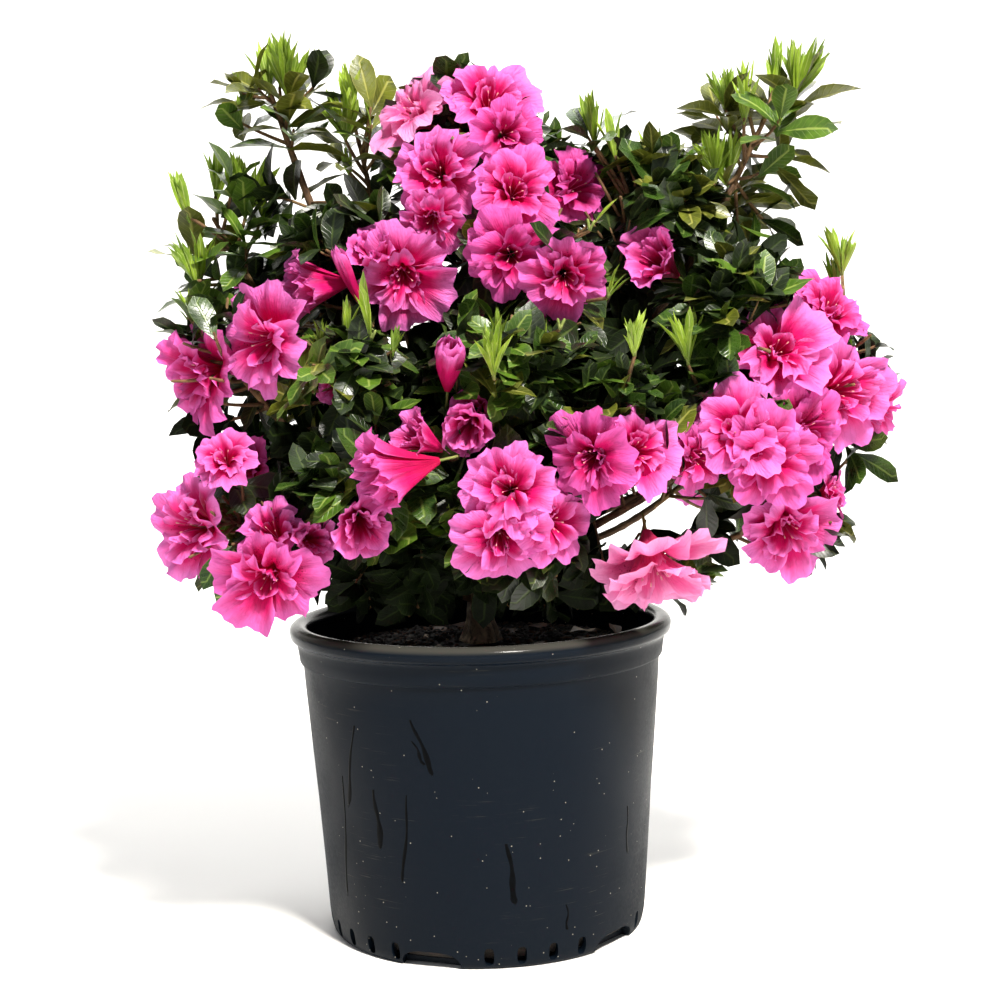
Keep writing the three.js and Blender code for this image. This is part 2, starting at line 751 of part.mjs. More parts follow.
/** The twigs, leaves, young shoots and blooms of one mass, fused into one body. */
function growMass(number, limbs) {
  const mass = CROWN[number];
  const random = seeded(1000 + 77 * number);
  const stem = stems[number];
  const { centre } = sites[number];
  const reach = new THREE.Vector3(...mass.reach);
  const near = limbs.flat().filter(({ point }) => point.distanceTo(centre) < Math.max(...mass.reach) * 1.4);
  const stemSolid = solidOf(limbGeometry(stem.line, taper(STEM.radius, STEM.tipRadius), STEM.sides, 1));
  const sprigs = [];
  const heart = mass.open ? [] : [coreSolid(number, near)];

  const hasRoom = (point) => {
    const overPot = point.z > POT.height + POT_MARGIN;
    const besidePot = Math.hypot(point.x, point.y) > POT.lipRadius + POT_BESIDE;
    if (!overPot && !besidePot) return false;
    if (point.clone().sub(centre).divide(reach).length() > REACH_SLACK) return false;
    if (near.some((bark) => point.distanceTo(bark.point) < bark.radius + LIMB_MARGIN)) return false;
    return roomAt(point, number).room > CELL_GAP;
  };
  const limbsClear = ({ start, hub, ring, last }) => {
    const spokes = [start, ...ring, last].map((end) => new THREE.LineCurve3(hub, end));
    const rim = ring.map((point, i) => new THREE.LineCurve3(point, ring[(i + 1) % ring.length]));
    return [...spokes, ...rim].every((line) => {
      const steps = Math.ceil(line.getLength() / 5);
      const places = line.getPoints(steps).filter((point) => point.distanceTo(start) > 3);
      return places.every((point) =>
        near.every((bark) => point.distanceTo(bark.point) > bark.radius + LIMB_MARGIN),
      );
    });
  };
  /** Adds a sprig if it crosses no limb, no wall of the mass's space and, unless it may, no other sprig. */
  const addSprig = (sprig, mayCross) => {
    const points = [...sprig.ring, sprig.last, sprig.hub];
    if (points.some((point) => roomAt(point, number).room < CELL_GAP)) return false;
    if (!limbsClear(sprig)) return false;
    const solid = solidOf(sprigGeometry(sprig));
    const crossing = sprigs.some((other) => solid.intersect(other).volume() > CROSSING);
    if (crossing && !mayCross) return false;
    sprigs.push(solid);
    return true;
  };
  const addWhorl = (start, hub, size) => {
    const direction = hub.clone().sub(start).normalize();
    for (const scale of WHORL_SCALES) {
      const ring = whorlRing(hub, direction, size, scale, hasRoom, random);
      const last = hub.clone().addScaledVector(direction, size.heart);
      if (addSprig({ start, hub, ring, last }, false)) return;
    }
  };

  const buds = mass.blooms.map((spec) => {
    const bloom = settledBloom(number, spec, random() * Math.PI);
    return { bloom, hub: bloom.seat };
  });
  const shoots = mass.shoots.map(([bearing, rise, distance]) => {
    const out = heading(bearing, rise).multiplyScalar(distance - YOUNG_LEAF.length * 0.75);
    return { size: YOUNG_LEAF, hub: centre.clone().add(out) };
  });
  const golden = Math.PI * (3 - Math.sqrt(5));
  const twigs = Array.from({ length: mass.twigs }, (_, i) => {
    const forward = Math.acos(0.95 - (1.45 * (i + 0.5)) / mass.twigs);
    const out = fanned(stem.way, forward, golden * i + number).multiply(reach);
    return { size: LEAF, hub: centre.clone().addScaledVector(out, 0.42 + 0.16 * random()) };
  });
  const branches = [...buds, ...shoots, ...twigs];
  const advance = ({ hub }) => hub.clone().sub(centre).dot(stem.way);
  const inOrder = [...branches].sort((a, b) => advance(a) - advance(b));
  inOrder.forEach((branch, i) => {
    branch.start = stem.line.getPoint(0.08 + (0.88 * (i + 0.5)) / inOrder.length);
  });
  for (const { bloom, start, hub, size } of branches) {
    if (bloom) addSprig({ start, hub, ...bloomRing(bloom) }, true);
    else addWhorl(start, hub, size);
  }
  return wasm.Manifold.union([stemSolid, ...heart, ...sprigs]);
}

// ---------------------------------------------------------------- assembly
const black = new THREE.MeshStandardMaterial({ color: 0x1c2228, roughness: 0.45, metalness: 0 });
const peat = new THREE.MeshStandardMaterial({ color: 0x1d1510, roughness: 0.95, metalness: 0 });
const bark = new THREE.MeshStandardMaterial({ color: 0x5a4636, roughness: 0.9, metalness: 0 });
const foliage = new THREE.MeshStandardMaterial({ color: 0x2f4a20, roughness: 0.5, metalness: 0 });

const shrub = new THREE.Group();

function addPiece(name, solid, material) {
  const mesh = new THREE.Mesh(geometryOf(solid), material);
  mesh.name = name;
  shrub.add(mesh);
}

addPiece("pot", potSolid(), black);
addPiece("potting_mix", soilSolid(), peat);
addPiece("trunk", trunkSolid(0), bark);
const lines = boughLines();
const trunkRoom = trunkSolid(CLEARANCE);
lines.forEach((line, i) => {
  const limb = solidOf(limbGeometry(line, boughRadius, BOUGH.sides, BOUGH.steps));
  addPiece(`bough_${CROWN[i].name}`, limb.subtract(trunkRoom), bark);
});
const boughBarks = lines.map((line) => barkAlong(line, boughRadius, 60));
CROWN.forEach((mass, i) => {
  const ownBough = boughBarks[i].slice(0, -3);
  const others = boughBarks.filter((_, j) => j !== i);
  const otherStems = stems.filter((_, j) => j !== i).map((stem) => stem.bark);
  addPiece(`mass_${mass.name}`, growMass(i, [ownBough, ...others, ...otherStems]), foliage);
});

export default shrub;
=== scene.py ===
"""An azalea in its black nursery pot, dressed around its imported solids.

The crown grows here by the same rule as in the solids: the same masses share the same space, the same
stems and twigs leave the boughs, and each twig is then carried on to finer twigs, each with its own
rosette of leaves. Growing is worked out in millimetres, and meshes are made in metres.
"""

import logging
import math
from collections.abc import Callable, Sequence
from dataclasses import dataclass, field
from enum import Enum
from functools import cache

import bmesh
import bpy
import numpy as np
from mathutils import Matrix, Vector, noise


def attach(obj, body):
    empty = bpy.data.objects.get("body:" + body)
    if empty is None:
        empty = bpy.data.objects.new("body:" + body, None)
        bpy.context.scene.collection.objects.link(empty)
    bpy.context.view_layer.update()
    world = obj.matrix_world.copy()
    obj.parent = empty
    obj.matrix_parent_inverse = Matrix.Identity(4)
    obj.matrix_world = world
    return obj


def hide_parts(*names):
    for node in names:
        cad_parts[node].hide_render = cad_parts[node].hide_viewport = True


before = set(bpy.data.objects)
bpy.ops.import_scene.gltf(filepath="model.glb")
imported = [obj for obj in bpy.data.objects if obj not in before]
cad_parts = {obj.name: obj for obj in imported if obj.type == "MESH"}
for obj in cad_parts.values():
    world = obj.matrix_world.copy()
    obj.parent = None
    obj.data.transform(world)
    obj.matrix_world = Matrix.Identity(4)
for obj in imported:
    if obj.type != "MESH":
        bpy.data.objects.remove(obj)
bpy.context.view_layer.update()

log = logging.getLogger("azalea")
Array, Rng, Triple = np.ndarray, np.random.Generator, tuple[float, float, float]
BMesh, Piece, Material, Socket = bmesh.types.BMesh, bpy.types.Object, bpy.types.Material, bpy.types.NodeSocket

norm = np.linalg.norm
Job = tuple[Array, Callable[[Array], None]]  # where a twig ends, and what grows it from its start

MM = 0.001
UP = np.array([0.0, 0.0, 1.0])
GOLDEN = math.pi * (3 - math.sqrt(5))
MOST_TRIANGLES = 185_000  # in one joined piece
BODY = "root"
VIEWER = np.array([16.0, -1311.0, 427.0])  # where the shrub's front is seen from, in mm


# ------------------------------------------------------------------ the crown's masses
@dataclass(frozen=True)
class Mass:
    """One mass of foliage.

    Bearings are in degrees anticlockwise from +X seen from above, and rises are above the horizon.
    """

    name: str  # the mass's plain name, as in its node
    at: Triple  # centre, in mm
    reach: Triple  # half axes of the space that it may fill, in mm
    twigs: int  # number of its leafy twigs
    # Bearing, rise, distance from the centre and width of each bloom.
    blooms: tuple[tuple[float, float, float, float], ...] = ()
    shoots: tuple[Triple, ...] = ()  # bearing, rise and distance of each young shoot
    # Bearing, rise, distance, length and number of tufts of further fresh growth.
    flushes: tuple[tuple[float, float, float, float, int], ...] = ()
    leafy: float = 0.86  # share of its reach that its grown leaves keep within, so that blooms stand out
    open: bool = False  # whether light comes through it


CROWN = (
    Mass("crest", (-4, 4, 546), (76, 78, 74), 15, blooms=((-158, 36, 46, 50), (-45, 46, 42, 60), (-106, -19,
         70, 58)), shoots=((60, 70, 50),)),
    Mass("breast", (47, -48, 466), (74, 80, 70), 13, blooms=((-135, 63, 57, 58), (-116, -5, 53, 58), (-70,
         -17, 58, 52)), flushes=((-62, 12, 66, 34, 2), (-45, -26, 66, 26, 2))),
    Mass("left_shoulder", (-74, -40, 464), (76, 74, 62), 15, blooms=((-43, -15, 54, 58), (-70, 16, 36, 38),
         (-141, -13, 49, 42), (-113, 10, 42, 24))),
    Mass("left_flank", (-164, -60, 404), (72, 84, 72), 15, blooms=((-56, 9, 60, 63), (-167, -15, 24, 56)),
         shoots=((150, 40, 62),), leafy=0.76),
    Mass("left_skirt", (-154, -66, 292), (78, 84, 66), 15, blooms=((110, 50, 60, 44), (-165, 3, 36, 62),
         (-66, 6, 54, 50), (-75, -24, 76, 68)), shoots=((170, 55, 55),), leafy=0.76),
    Mass("apron_left", (-64, -102, 326), (70, 78, 76), 15, blooms=((-98, -31, 57, 42), (-79, 11, 65, 46),
         (-63, 32, 62, 32))),
    Mass("apron", (19, -106, 304), (72, 78, 72), 13, blooms=((-88, 19, 62, 61), (-94, -20, 58, 56), (-55,
         -6, 58, 53))),
    Mass("sash", (88, -106, 350), (70, 78, 62), 15, blooms=((-108, -8, 60, 56), (-70, -5, 52, 54)),
         flushes=((-70, 52, 64, 26, 2),)),
    Mass("right_breast", (168, -80, 350), (72, 80, 66), 15, blooms=((-107, 3, 58, 62), (-70, -20, 56, 64)),
         flushes=((-136, 46, 60, 36, 2),)),
    Mass("right_skirt", (214, -30, 288), (74, 82, 62), 15, blooms=((-102, -12, 52, 68), (-20, 10, 48, 48)),
         leafy=0.68),
    Mass("drop", (118, -88, 264), (62, 76, 50), 13, blooms=((-97, 0, 42, 74),), leafy=0.7),
    Mass("right_shoulder", (246, -24, 392), (70, 84, 76), 15, blooms=((-90, 63, 36, 54), (-94, -24, 61, 68),
         (-14, -66, 60, 44)), shoots=((75, 70, 78),), flushes=((50, 78, 58, 30, 3),), leafy=0.64),
    Mass("right_bust", (172, -70, 422), (74, 76, 66), 17, blooms=((-58, -24, 45, 58),), shoots=((-112, 14,
         62),), flushes=((-72, -22, 57, 24, 1),)),
    Mass("left_bust", (-86, -90, 392), (66, 74, 58), 15, blooms=((-96, -45, 32, 34),), shoots=((-72, 44,
         60), (-118, 36, 52)), flushes=((-52, 30, 44, 36, 3), (-38, 18, 50, 18, 1))),
    Mass("heart", (24, -88, 396), (80, 78, 60), 17, blooms=((-128, 7, 60, 30), (-126, -32, 58, 36)),
         shoots=((-100, 18, 66), (-50, 10, 66)), flushes=((-99, -7, 62, 34, 2), (-56, 21, 61, 26, 2))),
    Mass("upper_right", (113, -8, 492), (76, 78, 74), 17, blooms=((-157, 19, 46, 54), (-74, -24, 48, 46),
         (-56, -50, 50, 44)), shoots=((-150, 70, 74), (30, 70, 62)), flushes=((-178, 62, 56, 34, 2), (22,
         66, 38, 24, 2), (-8, 21, 59, 38, 2)), leafy=0.88),
    Mass("left_plume", (-132, 6, 576), (60, 56, 56), 15, shoots=((-165, 68, 40), (20, 72, 42)),
         flushes=((-30, 10, 12, 36, 3),), open=True),
    Mass("inner_plume", (-74, 20, 540), (52, 62, 66), 13, shoots=((-120, 72, 62), (60, 70, 60)),
         flushes=((-137, 37, 18, 34, 2), (180, -50, 14, 20, 1)), open=True),
    Mass("right_plume", (200, -8, 550), (66, 60, 64), 15, shoots=((30, 66, 58), (150, 62, 52), (-128, 14,
         52)), flushes=((0, 40, 32, 32, 3), (160, 30, 28, 24, 3), (-171, -57, 45, 32, 2)), open=True),
    Mass("left_spray", (-172, 14, 488), (64, 74, 70), 15, shoots=((120, 66, 60), (-165, 30, 58)),
         flushes=((-14, 34, 20, 36, 3), (-120, -51, 44, 32, 2), (-114, -40, 50, 26, 1)), open=True),
    Mass("back_crest", (30, 100, 516), (84, 80, 76), 15, blooms=((70, 20, 58, 62), (130, 35, 56, 58)),
         shoots=((100, 70, 66),)),
    Mass("back_left", (-120, 112, 430), (84, 80, 84), 17, blooms=((150, 10, 62, 62), (105, 28, 60, 60)),
         shoots=((120, 60, 74),)),
    Mass("back_right", (150, 104, 440), (84, 80, 84), 17, blooms=((30, 12, 62, 62), (78, 28, 60, 60)),
         shoots=((50, 60, 74),)),
    Mass("back_heart", (14, 160, 396), (84, 76, 80), 15, blooms=((112, 6, 58, 64), (60, -10, 58, 60)),
         shoots=((88, 48, 66),)),
    Mass("back_left_skirt", (-142, 96, 308), (80, 80, 66), 15, blooms=((160, -6, 54, 64), (110, 6, 56, 62))),
    Mass("back_right_skirt", (168, 86, 310), (80, 80, 70), 15, blooms=((28, 0, 56, 64), (78, -6, 56, 62))),
    Mass("back_skirt", (10, 176, 296), (80, 66, 60), 15, blooms=((120, 4, 44, 66), (52, -8, 50, 60))),
)


@dataclass(frozen=True)
class Hang:
    """How one bloom hangs once it is whole."""

    right: float = 0.0  # its shift to the right, in mm
    up: float = 0.0  # its shift up, in mm
    scale: float = 1.0  # how much wider it is
    way: Triple | None = None  # the way that it opens, where it isn't the mass's own
    stage: str = ""  # how far it has opened, where its width doesn't tell
    shade: int | None = None  # which of the petals' finishes it takes, where it isn't drawn


# How each mass's blooms hang: the fields of Hang, bloom by bloom.
# Where a finish is given, it partly stands for how the bloom is lit: the pale finish on the crest's first
# bloom and the pink one on its second are painted light, and the magenta one on the left skirt's first bloom
# is painted shade.
HANGS = {
    "crest": ((-1, -4, 1.3, (-0.55, -0.6, 0.45), "", 3), (0, -2, 1.14, (0.1, -0.8, 0.5), "", 0), (-10, -15,
        1.12, (-0.25, -0.95, 0.1))),
    "breast": ((-2, 0, 1.08, (0.15, -0.9, 0.3)), (-2, -9, 1.08, (-0.05, -1, -0.1)), (-8, -13, 1.12, (0.1,
        -1, -0.2))),
    "upper_right": ((-17, 0, 1.12, (0.45, -0.75, 0.2)), (3, -14, 1.12, (-0.5, -0.75, 0.35), "cup"), (0, 14,
        0.7)),
    "left_shoulder": ((2, -3, 1.12, (0.1, -0.9, -0.35)), (-1, 0, 1.0, (-0.3, -0.7, 0.6), "cup"), (4, -6,
        1.18, (-0.88, -0.4, -0.05), "cup", 0), (11, -15, 0.9, (-0.36, -0.3, 0.86), "furled")),
    "left_flank": ((19, -3, 1.16, (-0.55, -0.75, -0.15)), (3, -3, 1.34, (-0.8, -0.6, -0.1))),
    "left_skirt": ((9, 0, 0.98, (-0.6, -0.7, 0.3), "", 2), (-3, 0, 1.18, (-0.75, -0.65, 0.1)), (10, 0, 1.04,
        (-0.3, -0.75, 0.5)), (10, 5, 0.99, (-0.15, -0.9, -0.35))),
    "apron_left": ((1, 4, 1.04, (0.2, -0.9, -0.2)), (8, -3, 1.24, (-0.86, -0.42, -0.15), "cup"), (3, -4,
        1.15, (-0.7, -0.5, 0.4), "cup")),
    "left_bust": ((0, 0, 0.75),),
    "heart": ((0, 0, 1.05, (0.1, -0.5, 0.85), "bud"), (2, -6, 0.85, (-0.3, -0.9, 0.1))),
    "apron": ((0, -2, 1.04, (-0.1, -1, 0.15)), (0, 6, 1.06, (0, -0.95, -0.3)), (4, 4, 1.06, (0.45, -0.85,
        -0.1))),
    "sash": ((-4, -6, 1.06, (-0.35, -0.9, -0.1)), (-4, -2, 1.06, (0.25, -0.9, 0.2))),
    "right_breast": ((-4, 0, 1.08, (-0.15, -0.9, 0.3)), (0, 2, 1.06, (0.1, -1, -0.15))),
    "right_bust": ((4, -13, 1.14, (0.2, -0.8, 0.3)),),
    "right_shoulder": ((-4, 3, 1.18, (0.35, -0.65, 0.6)), (-12, -4, 1.08, (0.45, -0.85, 0.05)), (3, 6, 1.15,
        (0.6, -0.55, -0.5))),
    "right_skirt": ((-5, 9, 1.04, (0.15, -0.85, -0.35)), (-16, 8, 0.72)),
    "drop": ((0, -3, 1.16, (0.12, -0.56, -0.82), "", 3),),
}
# Further blooms behind those: mass, place in mm, and width in mm.
FURTHER = (
    ("heart", (-3, -140, 358), 42), ("sash", (143, -126, 335), 50), ("right_breast", (214, -108, 348), 58),
    ("crest", (27, -56, 546), 52), ("crest", (-24, -62, 490), 48), ("left_skirt", (-161, -96, 342), 46),
    ("left_skirt", (-102, -120, 288), 34),
)
# Single whorls that stand out or close the crown: mass, place in mm, finish, leaves and lift.
# Those with the painted-shade finish are near-black leaves put where the crown's inside lies in shadow, as
# painted shade.
SPRAYS = (
    ("right_plume", (187, 18, 500), "OLIVE", 7, 0.5), ("right_plume", (203, 6, 522), "BRIGHT", 7, 0.8),
    ("right_plume", (206, 8, 486), "GLOSSY", 7, 0.3), ("right_plume", (221, 4, 533), "OLIVE", 6, 0.7),
    ("right_plume", (172, 6, 560), "OLIVE", 6, 0.9), ("right_plume", (184, -8, 478), "BRIGHT", 6, 0.6),
    ("right_skirt", (262, -6, 326), "GLOSSY", 7, -1.3), ("right_shoulder", (268, 0, 346), "DEEP", 6, -1.1),
    ("left_plume", (-104, 5, 588), "DEEP", 5, 0.5), ("left_plume", (-119, 0, 558), "BRIGHT", 6, 0.7),
    ("left_plume", (-142, -2, 586), "OLIVE", 6, 0.8), ("left_spray", (-154, -6, 480), "BRIGHT", 7, 0.8),
    ("left_spray", (-174, -4, 458), "GLOSSY", 7, 0.4), ("upper_right", (82, -6, 548), "GLOSSY", 7, 0.8),
    ("inner_plume", (-66, 6, 572), "OLIVE", 6, 0.8), ("inner_plume", (-58, -2, 548), "BRIGHT", 6, 0.6),
    ("back_crest", (-14, 66, 466), "SHADE", 9, 0.0), ("back_crest", (-24, 58, 452), "SHADE", 9, -0.4),
    ("left_flank", (-176, -20, 360), "SHADE", 8, 0.0), ("back_left", (-52, 70, 412), "SHADE", 9, 0.0),
    ("back_right", (88, 60, 420), "SHADE", 9, 0.0), ("back_right", (116, 56, 400), "SHADE", 9, 0.0),
    ("right_breast", (151, -80, 306), "DEEP", 5, -2.0),
)
# Where light comes through from the back above the hanging bloom: place and radius, in mm.
GAPS = (((84, -110, 287), 15), ((97, -110, 297), 18), ((113, -110, 301), 19), ((129, -110, 300), 18))
MASS_NODES = tuple(f"mass_{mass.name}" for mass in CROWN)
BOUGH_NODES = tuple(f"bough_{mass.name}" for mass in CROWN)


# ------------------------------------------------------------------ small tools
def seeded(seed: int) -> Callable[[], float]:
    """A seeded stream of numbers from 0 to 1, the same as the solids use.

    Args:
        seed: The stream's seed.

    Returns:
        A function that draws the next number.
    """
    state = seed & 0xFFFFFFFF

    def draw() -> float:
        """Draws the next number."""
        nonlocal state
        state = (state * 1664525 + 1013904223) & 0xFFFFFFFF
        return state / 4294967296

    return draw


def unit(vectors: Array) -> Array:
    """The vectors at length one."""
    return vectors / np.maximum(norm(vectors, axis=-1, keepdims=True), 1e-12)


def heading(bearing: float, rise: float) -> Array:
    """A unit vector from a bearing and a rise in degrees."""
    b, r = math.radians(bearing), math.radians(rise)
    return np.array([math.cos(r) * math.cos(b), math.cos(r) * math.sin(b), math.sin(r)])


def frame_of(direction: Array) -> tuple[Array, Array]:
    """Two unit vectors square to each direction, one level and one upright, right-handed with it.

    Args:
        direction: One unit vector or a row of them.

    Returns:
        The level vectors and the upright ones.
    """
    steep = np.abs(direction[..., 2:3]) > 0.97
    helper = np.where(steep, np.array([0.0, 1.0, 0.0]), UP)
    across = unit(np.cross(helper, direction))
    return across, np.cross(direction, across)


def fanned(direction: Array, spread: Array | float, turn: Array | float) -> Array:
    """Ways off a direction by an angle, turned about it by another.

    Args:
        direction: One unit vector or a row of them.
        spread: Angles off the direction, in radians.
        turn: Angles about it, in radians.

    Returns:
        Unit vectors.
    """
    across, above = frame_of(direction)
    off, about = np.asarray(spread)[..., None], np.asarray(turn)[..., None]
    side = across * np.cos(about) + above * np.sin(about)
    return unit(direction * np.cos(off) + side * np.sin(off))


def beside(points: Array, start: Array, way: Array) -> tuple[Array, Array]:
    """How far places lie along a way from its start, and how far off it."""
    away = points - start
    ahead = away @ way
    return ahead, norm(away - ahead[:, None] * way, axis=1)


def bezier(points: Sequence[Array], share: Array) -> Array:
    """Places on a quadratic or cubic curve.

    Args:
        points: Its three or four control points.
        share: How far along, from 0 to 1.

    Returns:
        One place for each share.
    """
    t = np.asarray(share, float)[..., None]
    while len(points) > 1:
        points = [a + (b - a) * t for a, b in zip(points, points[1:])]
    return points[0]


def paint(code: str) -> tuple[float, float, float, float]:
    """The linear colour of a six-figure hex code."""
    parts = [int(code[i : i + 2], 16) / 255 for i in (0, 2, 4)]
    linear = [p / 12.92 if p <= 0.04045 else ((p + 0.055) / 1.055) ** 2.4 for p in parts]
    return (*linear, 1.0)


# ------------------------------------------------------------------ meshes
@dataclass
class Pattern:
    """A small shape that is laid down many times."""

    points: Array  # its corners
    faces: Array  # its triangles
    uv: Array  # a place on its surface for each corner

    @classmethod
    def taken_from(cls, bm: BMesh) -> "Pattern":
        """A pattern from a finished mesh, which is freed.

        Args:
            bm: The mesh, with its surface places in the layer "place".

        Returns:
            The pattern.
        """
        layer = place_layer(bm)
        bmesh.ops.triangulate(bm, faces=bm.faces[:])
        bm.verts.index_update()
        made = cls(
            np.array([v.co[:] for v in bm.verts]),
            np.array([[v.index for v in f.verts] for f in bm.faces]),
            np.array([v[layer][:2] for v in bm.verts]),
        )
        bm.free()
        return made


def place_layer(bm: BMesh) -> bmesh.types.BMLayerItem:
    """The layer of a mesh that holds each corner's place on its surface."""
    layers = bm.verts.layers.float_vector
    return layers.get("place") or layers.new("place")


def add_sheet(
    bm: BMesh,
    across: int,
    along: int,
    shape: Callable[[Array, Array], Array],
    shift: float = 0.0,
    start: float = 0.0,
) -> None:
    """Adds a thin shaped sheet to a mesh.

    Args:
        bm: The mesh.
        across: Faces from side to side.
        along: Faces from end to end.
        shape: Gives a place for u from -1 to 1 and v from 0 to 1.
        shift: Added to the sheet's u on its surface, which tells kinds of sheet apart.
        start: The v on its surface at its foot.
    """
    layer = place_layer(bm)
    made = bmesh.ops.create_grid(bm, x_segments=across, y_segments=along, size=1.0)["verts"]
    u = np.array([v.co.x for v in made])
    v = np.array([v.co.y for v in made]) / 2 + 0.5
    for vert, place, s, t in zip(made, shape(u, v), u, v):
        vert.co = place
        vert[layer] = (s / 2 + 0.5 + shift, start + (1 - start) * t, 0.0)
    bmesh.ops.remove_doubles(bm, verts=made, dist=1e-4)


def mesh_piece(name: str, points: Array, faces: Array, uv: Array) -> Piece:
    """A smooth mesh object from arrays, in the scene.

    Args:
        name: Its name.
        points: Corners, in metres.
        faces: Triangles.
        uv: A place on its surface for each corner.

    Returns:
        The object.
    """
    mesh = bpy.data.meshes.new(name)
    mesh.vertices.add(len(points))
    mesh.vertices.foreach_set("co", points.astype(np.float32).ravel())
    mesh.loops.add(faces.size)
    mesh.loops.foreach_set("vertex_index", faces.astype(np.int32).ravel())
    mesh.polygons.add(len(faces))
    mesh.polygons.foreach_set("loop_start", np.arange(0, faces.size, 3, dtype=np.int32))
    layer = mesh.uv_layers.new(name="surface")
    layer.data.foreach_set("uv", uv[faces.ravel()].astype(np.float32).ravel())
    mesh.update(calc_edges=True)
    mesh.validate()
    mesh.shade_smooth()
    piece = bpy.data.objects.new(name, mesh)
    bpy.context.scene.collection.objects.link(piece)
    return piece


def piece_of(name: str, bm: BMesh, scale: float = MM) -> Piece:
    """A smooth mesh object from a bmesh, facing outwards, in the scene.

    Args:
        name: Its name.
        bm: The mesh, which is freed.
        scale: Its unit, in metres.

    Returns:
        The object.
    """
    bmesh.ops.recalc_face_normals(bm, faces=bm.faces[:])
    bmesh.ops.scale(bm, vec=(scale, scale, scale), verts=bm.verts[:])
    mesh = bpy.data.meshes.new(name)
    bm.to_mesh(mesh)
    bm.free()
    mesh.shade_smooth()
    piece = bpy.data.objects.new(name, mesh)
    bpy.context.scene.collection.objects.link(piece)
    return piece


def spun(section: Sequence[tuple[float, float]], steps: int) -> BMesh:
    """A section spun all the way round +Z.

    Args:
        section: Radius and height of its corners.
        steps: Faces round it.

    Returns:
        The mesh.
    """
    bm = bmesh.new()
    verts = [bm.verts.new((radius, 0, height)) for radius, height in section]
    edges = [bm.edges.new(pair) for pair in zip(verts, verts[1:])]
    bmesh.ops.spin(
        bm, geom=verts + edges, axis=(0, 0, 1), cent=(0, 0, 0), steps=steps,
        angle=2 * math.pi, use_merge=True, use_duplicate=False,
    )
    bmesh.ops.remove_doubles(bm, verts=bm.verts[:], dist=0.01)
    return bm


@cache
def skin(finish: "Finish") -> Material:
    """A finish's material, made once for all the pieces that share it."""
    return finish.material()


def settle(piece: Piece, finish: "Finish", nodes: Sequence[str]) -> None:
    """Dresses a piece, attaches it to the body, and hides the solids that it replaces.

    Args:
        piece: The piece.
        finish: Its finish.
        nodes: The solids that it replaces.
    """
    piece.data.materials.append(skin(finish))
    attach(piece, BODY)
    if nodes:
        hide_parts(*nodes)
    log.info("%s: %d triangles", piece.name, sum(len(p.vertices) - 2 for p in piece.data.polygons))


@dataclass
class Drift:
    """Many copies of a few patterns, joined into pieces, one kind and finish each."""

    name: str  # the start of its pieces' names
    patterns: list[Pattern]  # the shapes that are laid down
    # For each finish and pattern, rows of place, way, face, and size, in mm.
    laid: dict[tuple[int, int], list[tuple[Array, Array, Array, Array]]] = field(default_factory=dict)

    def lay(self, place: Array, way: Array, facing: Array, size: Array, tone: int, kinds: Array) -> None:
        """Lays copies down.

        Args:
            place: Where each copy's foot is, in mm.
            way: The way along which each grows.
            facing: The way that each one's face looks, made square to its way.
            size: How much larger each is than its pattern.
            tone: The number of the finish that they share.
            kinds: The number of the pattern of each.
        """
        square = unit(facing - way * (facing * way).sum(1, keepdims=True))
        for kind in np.unique(kinds):
            own = kinds == kind
            row = (place[own], way[own], square[own], size[own])
            self.laid.setdefault((tone, int(kind)), []).append(row)

    def pieces(self, tone: int) -> list[Piece]:
        """The joined meshes of all copies with one finish.

        Args:
            tone: The number of the finish.

        Returns:
            One object, or several where one would be too large.
        """
        blocks = []
        for (own, kind), rows in sorted(self.laid.items()):
            if own != tone:
                continue
            pattern = self.patterns[kind]
            place, way, face, size = (np.concatenate(part) for part in zip(*rows))
            axes = np.stack([np.cross(way, face), way, face], axis=1) * size[:, None, None]
            points = place[:, None, :] + np.einsum("pk,nkc->npc", pattern.points, axes)
            starts = np.arange(len(place))[:, None, None] * len(pattern.points)
            most = max(1, MOST_TRIANGLES // len(pattern.faces))
            for first in range(0, len(place), most):
                count = len(place[first : first + most])
                blocks.append(
                    (
                        points[first : first + most].reshape(-1, 3) * MM,
                        (pattern.faces[None] + starts[:count]).reshape(-1, 3),
                        np.tile(pattern.uv, (count, 1)),
                    )
                )
        made: list[Piece] = []
        while blocks:
            group, total = [], 0
            while blocks and (not group or total + len(blocks[0][1]) <= MOST_TRIANGLES):
                total += len(blocks[0][1])
                group.append(blocks.pop(0))
            shifts = np.cumsum([0] + [len(points) for points, _, _ in group])
            name = f"{self.name}_{tone + 1}" if not made else f"{self.name}_{tone + 1}_{len(made) + 1}"
            made.append(
                mesh_piece(
                    name,
                    np.concatenate([points for points, _, _ in group]),
                    np.concatenate([faces + shift for (_, faces, _), shift in zip(group, shifts)]),
                    np.concatenate([uv for _, _, uv in group]),
                )
            )
        return made


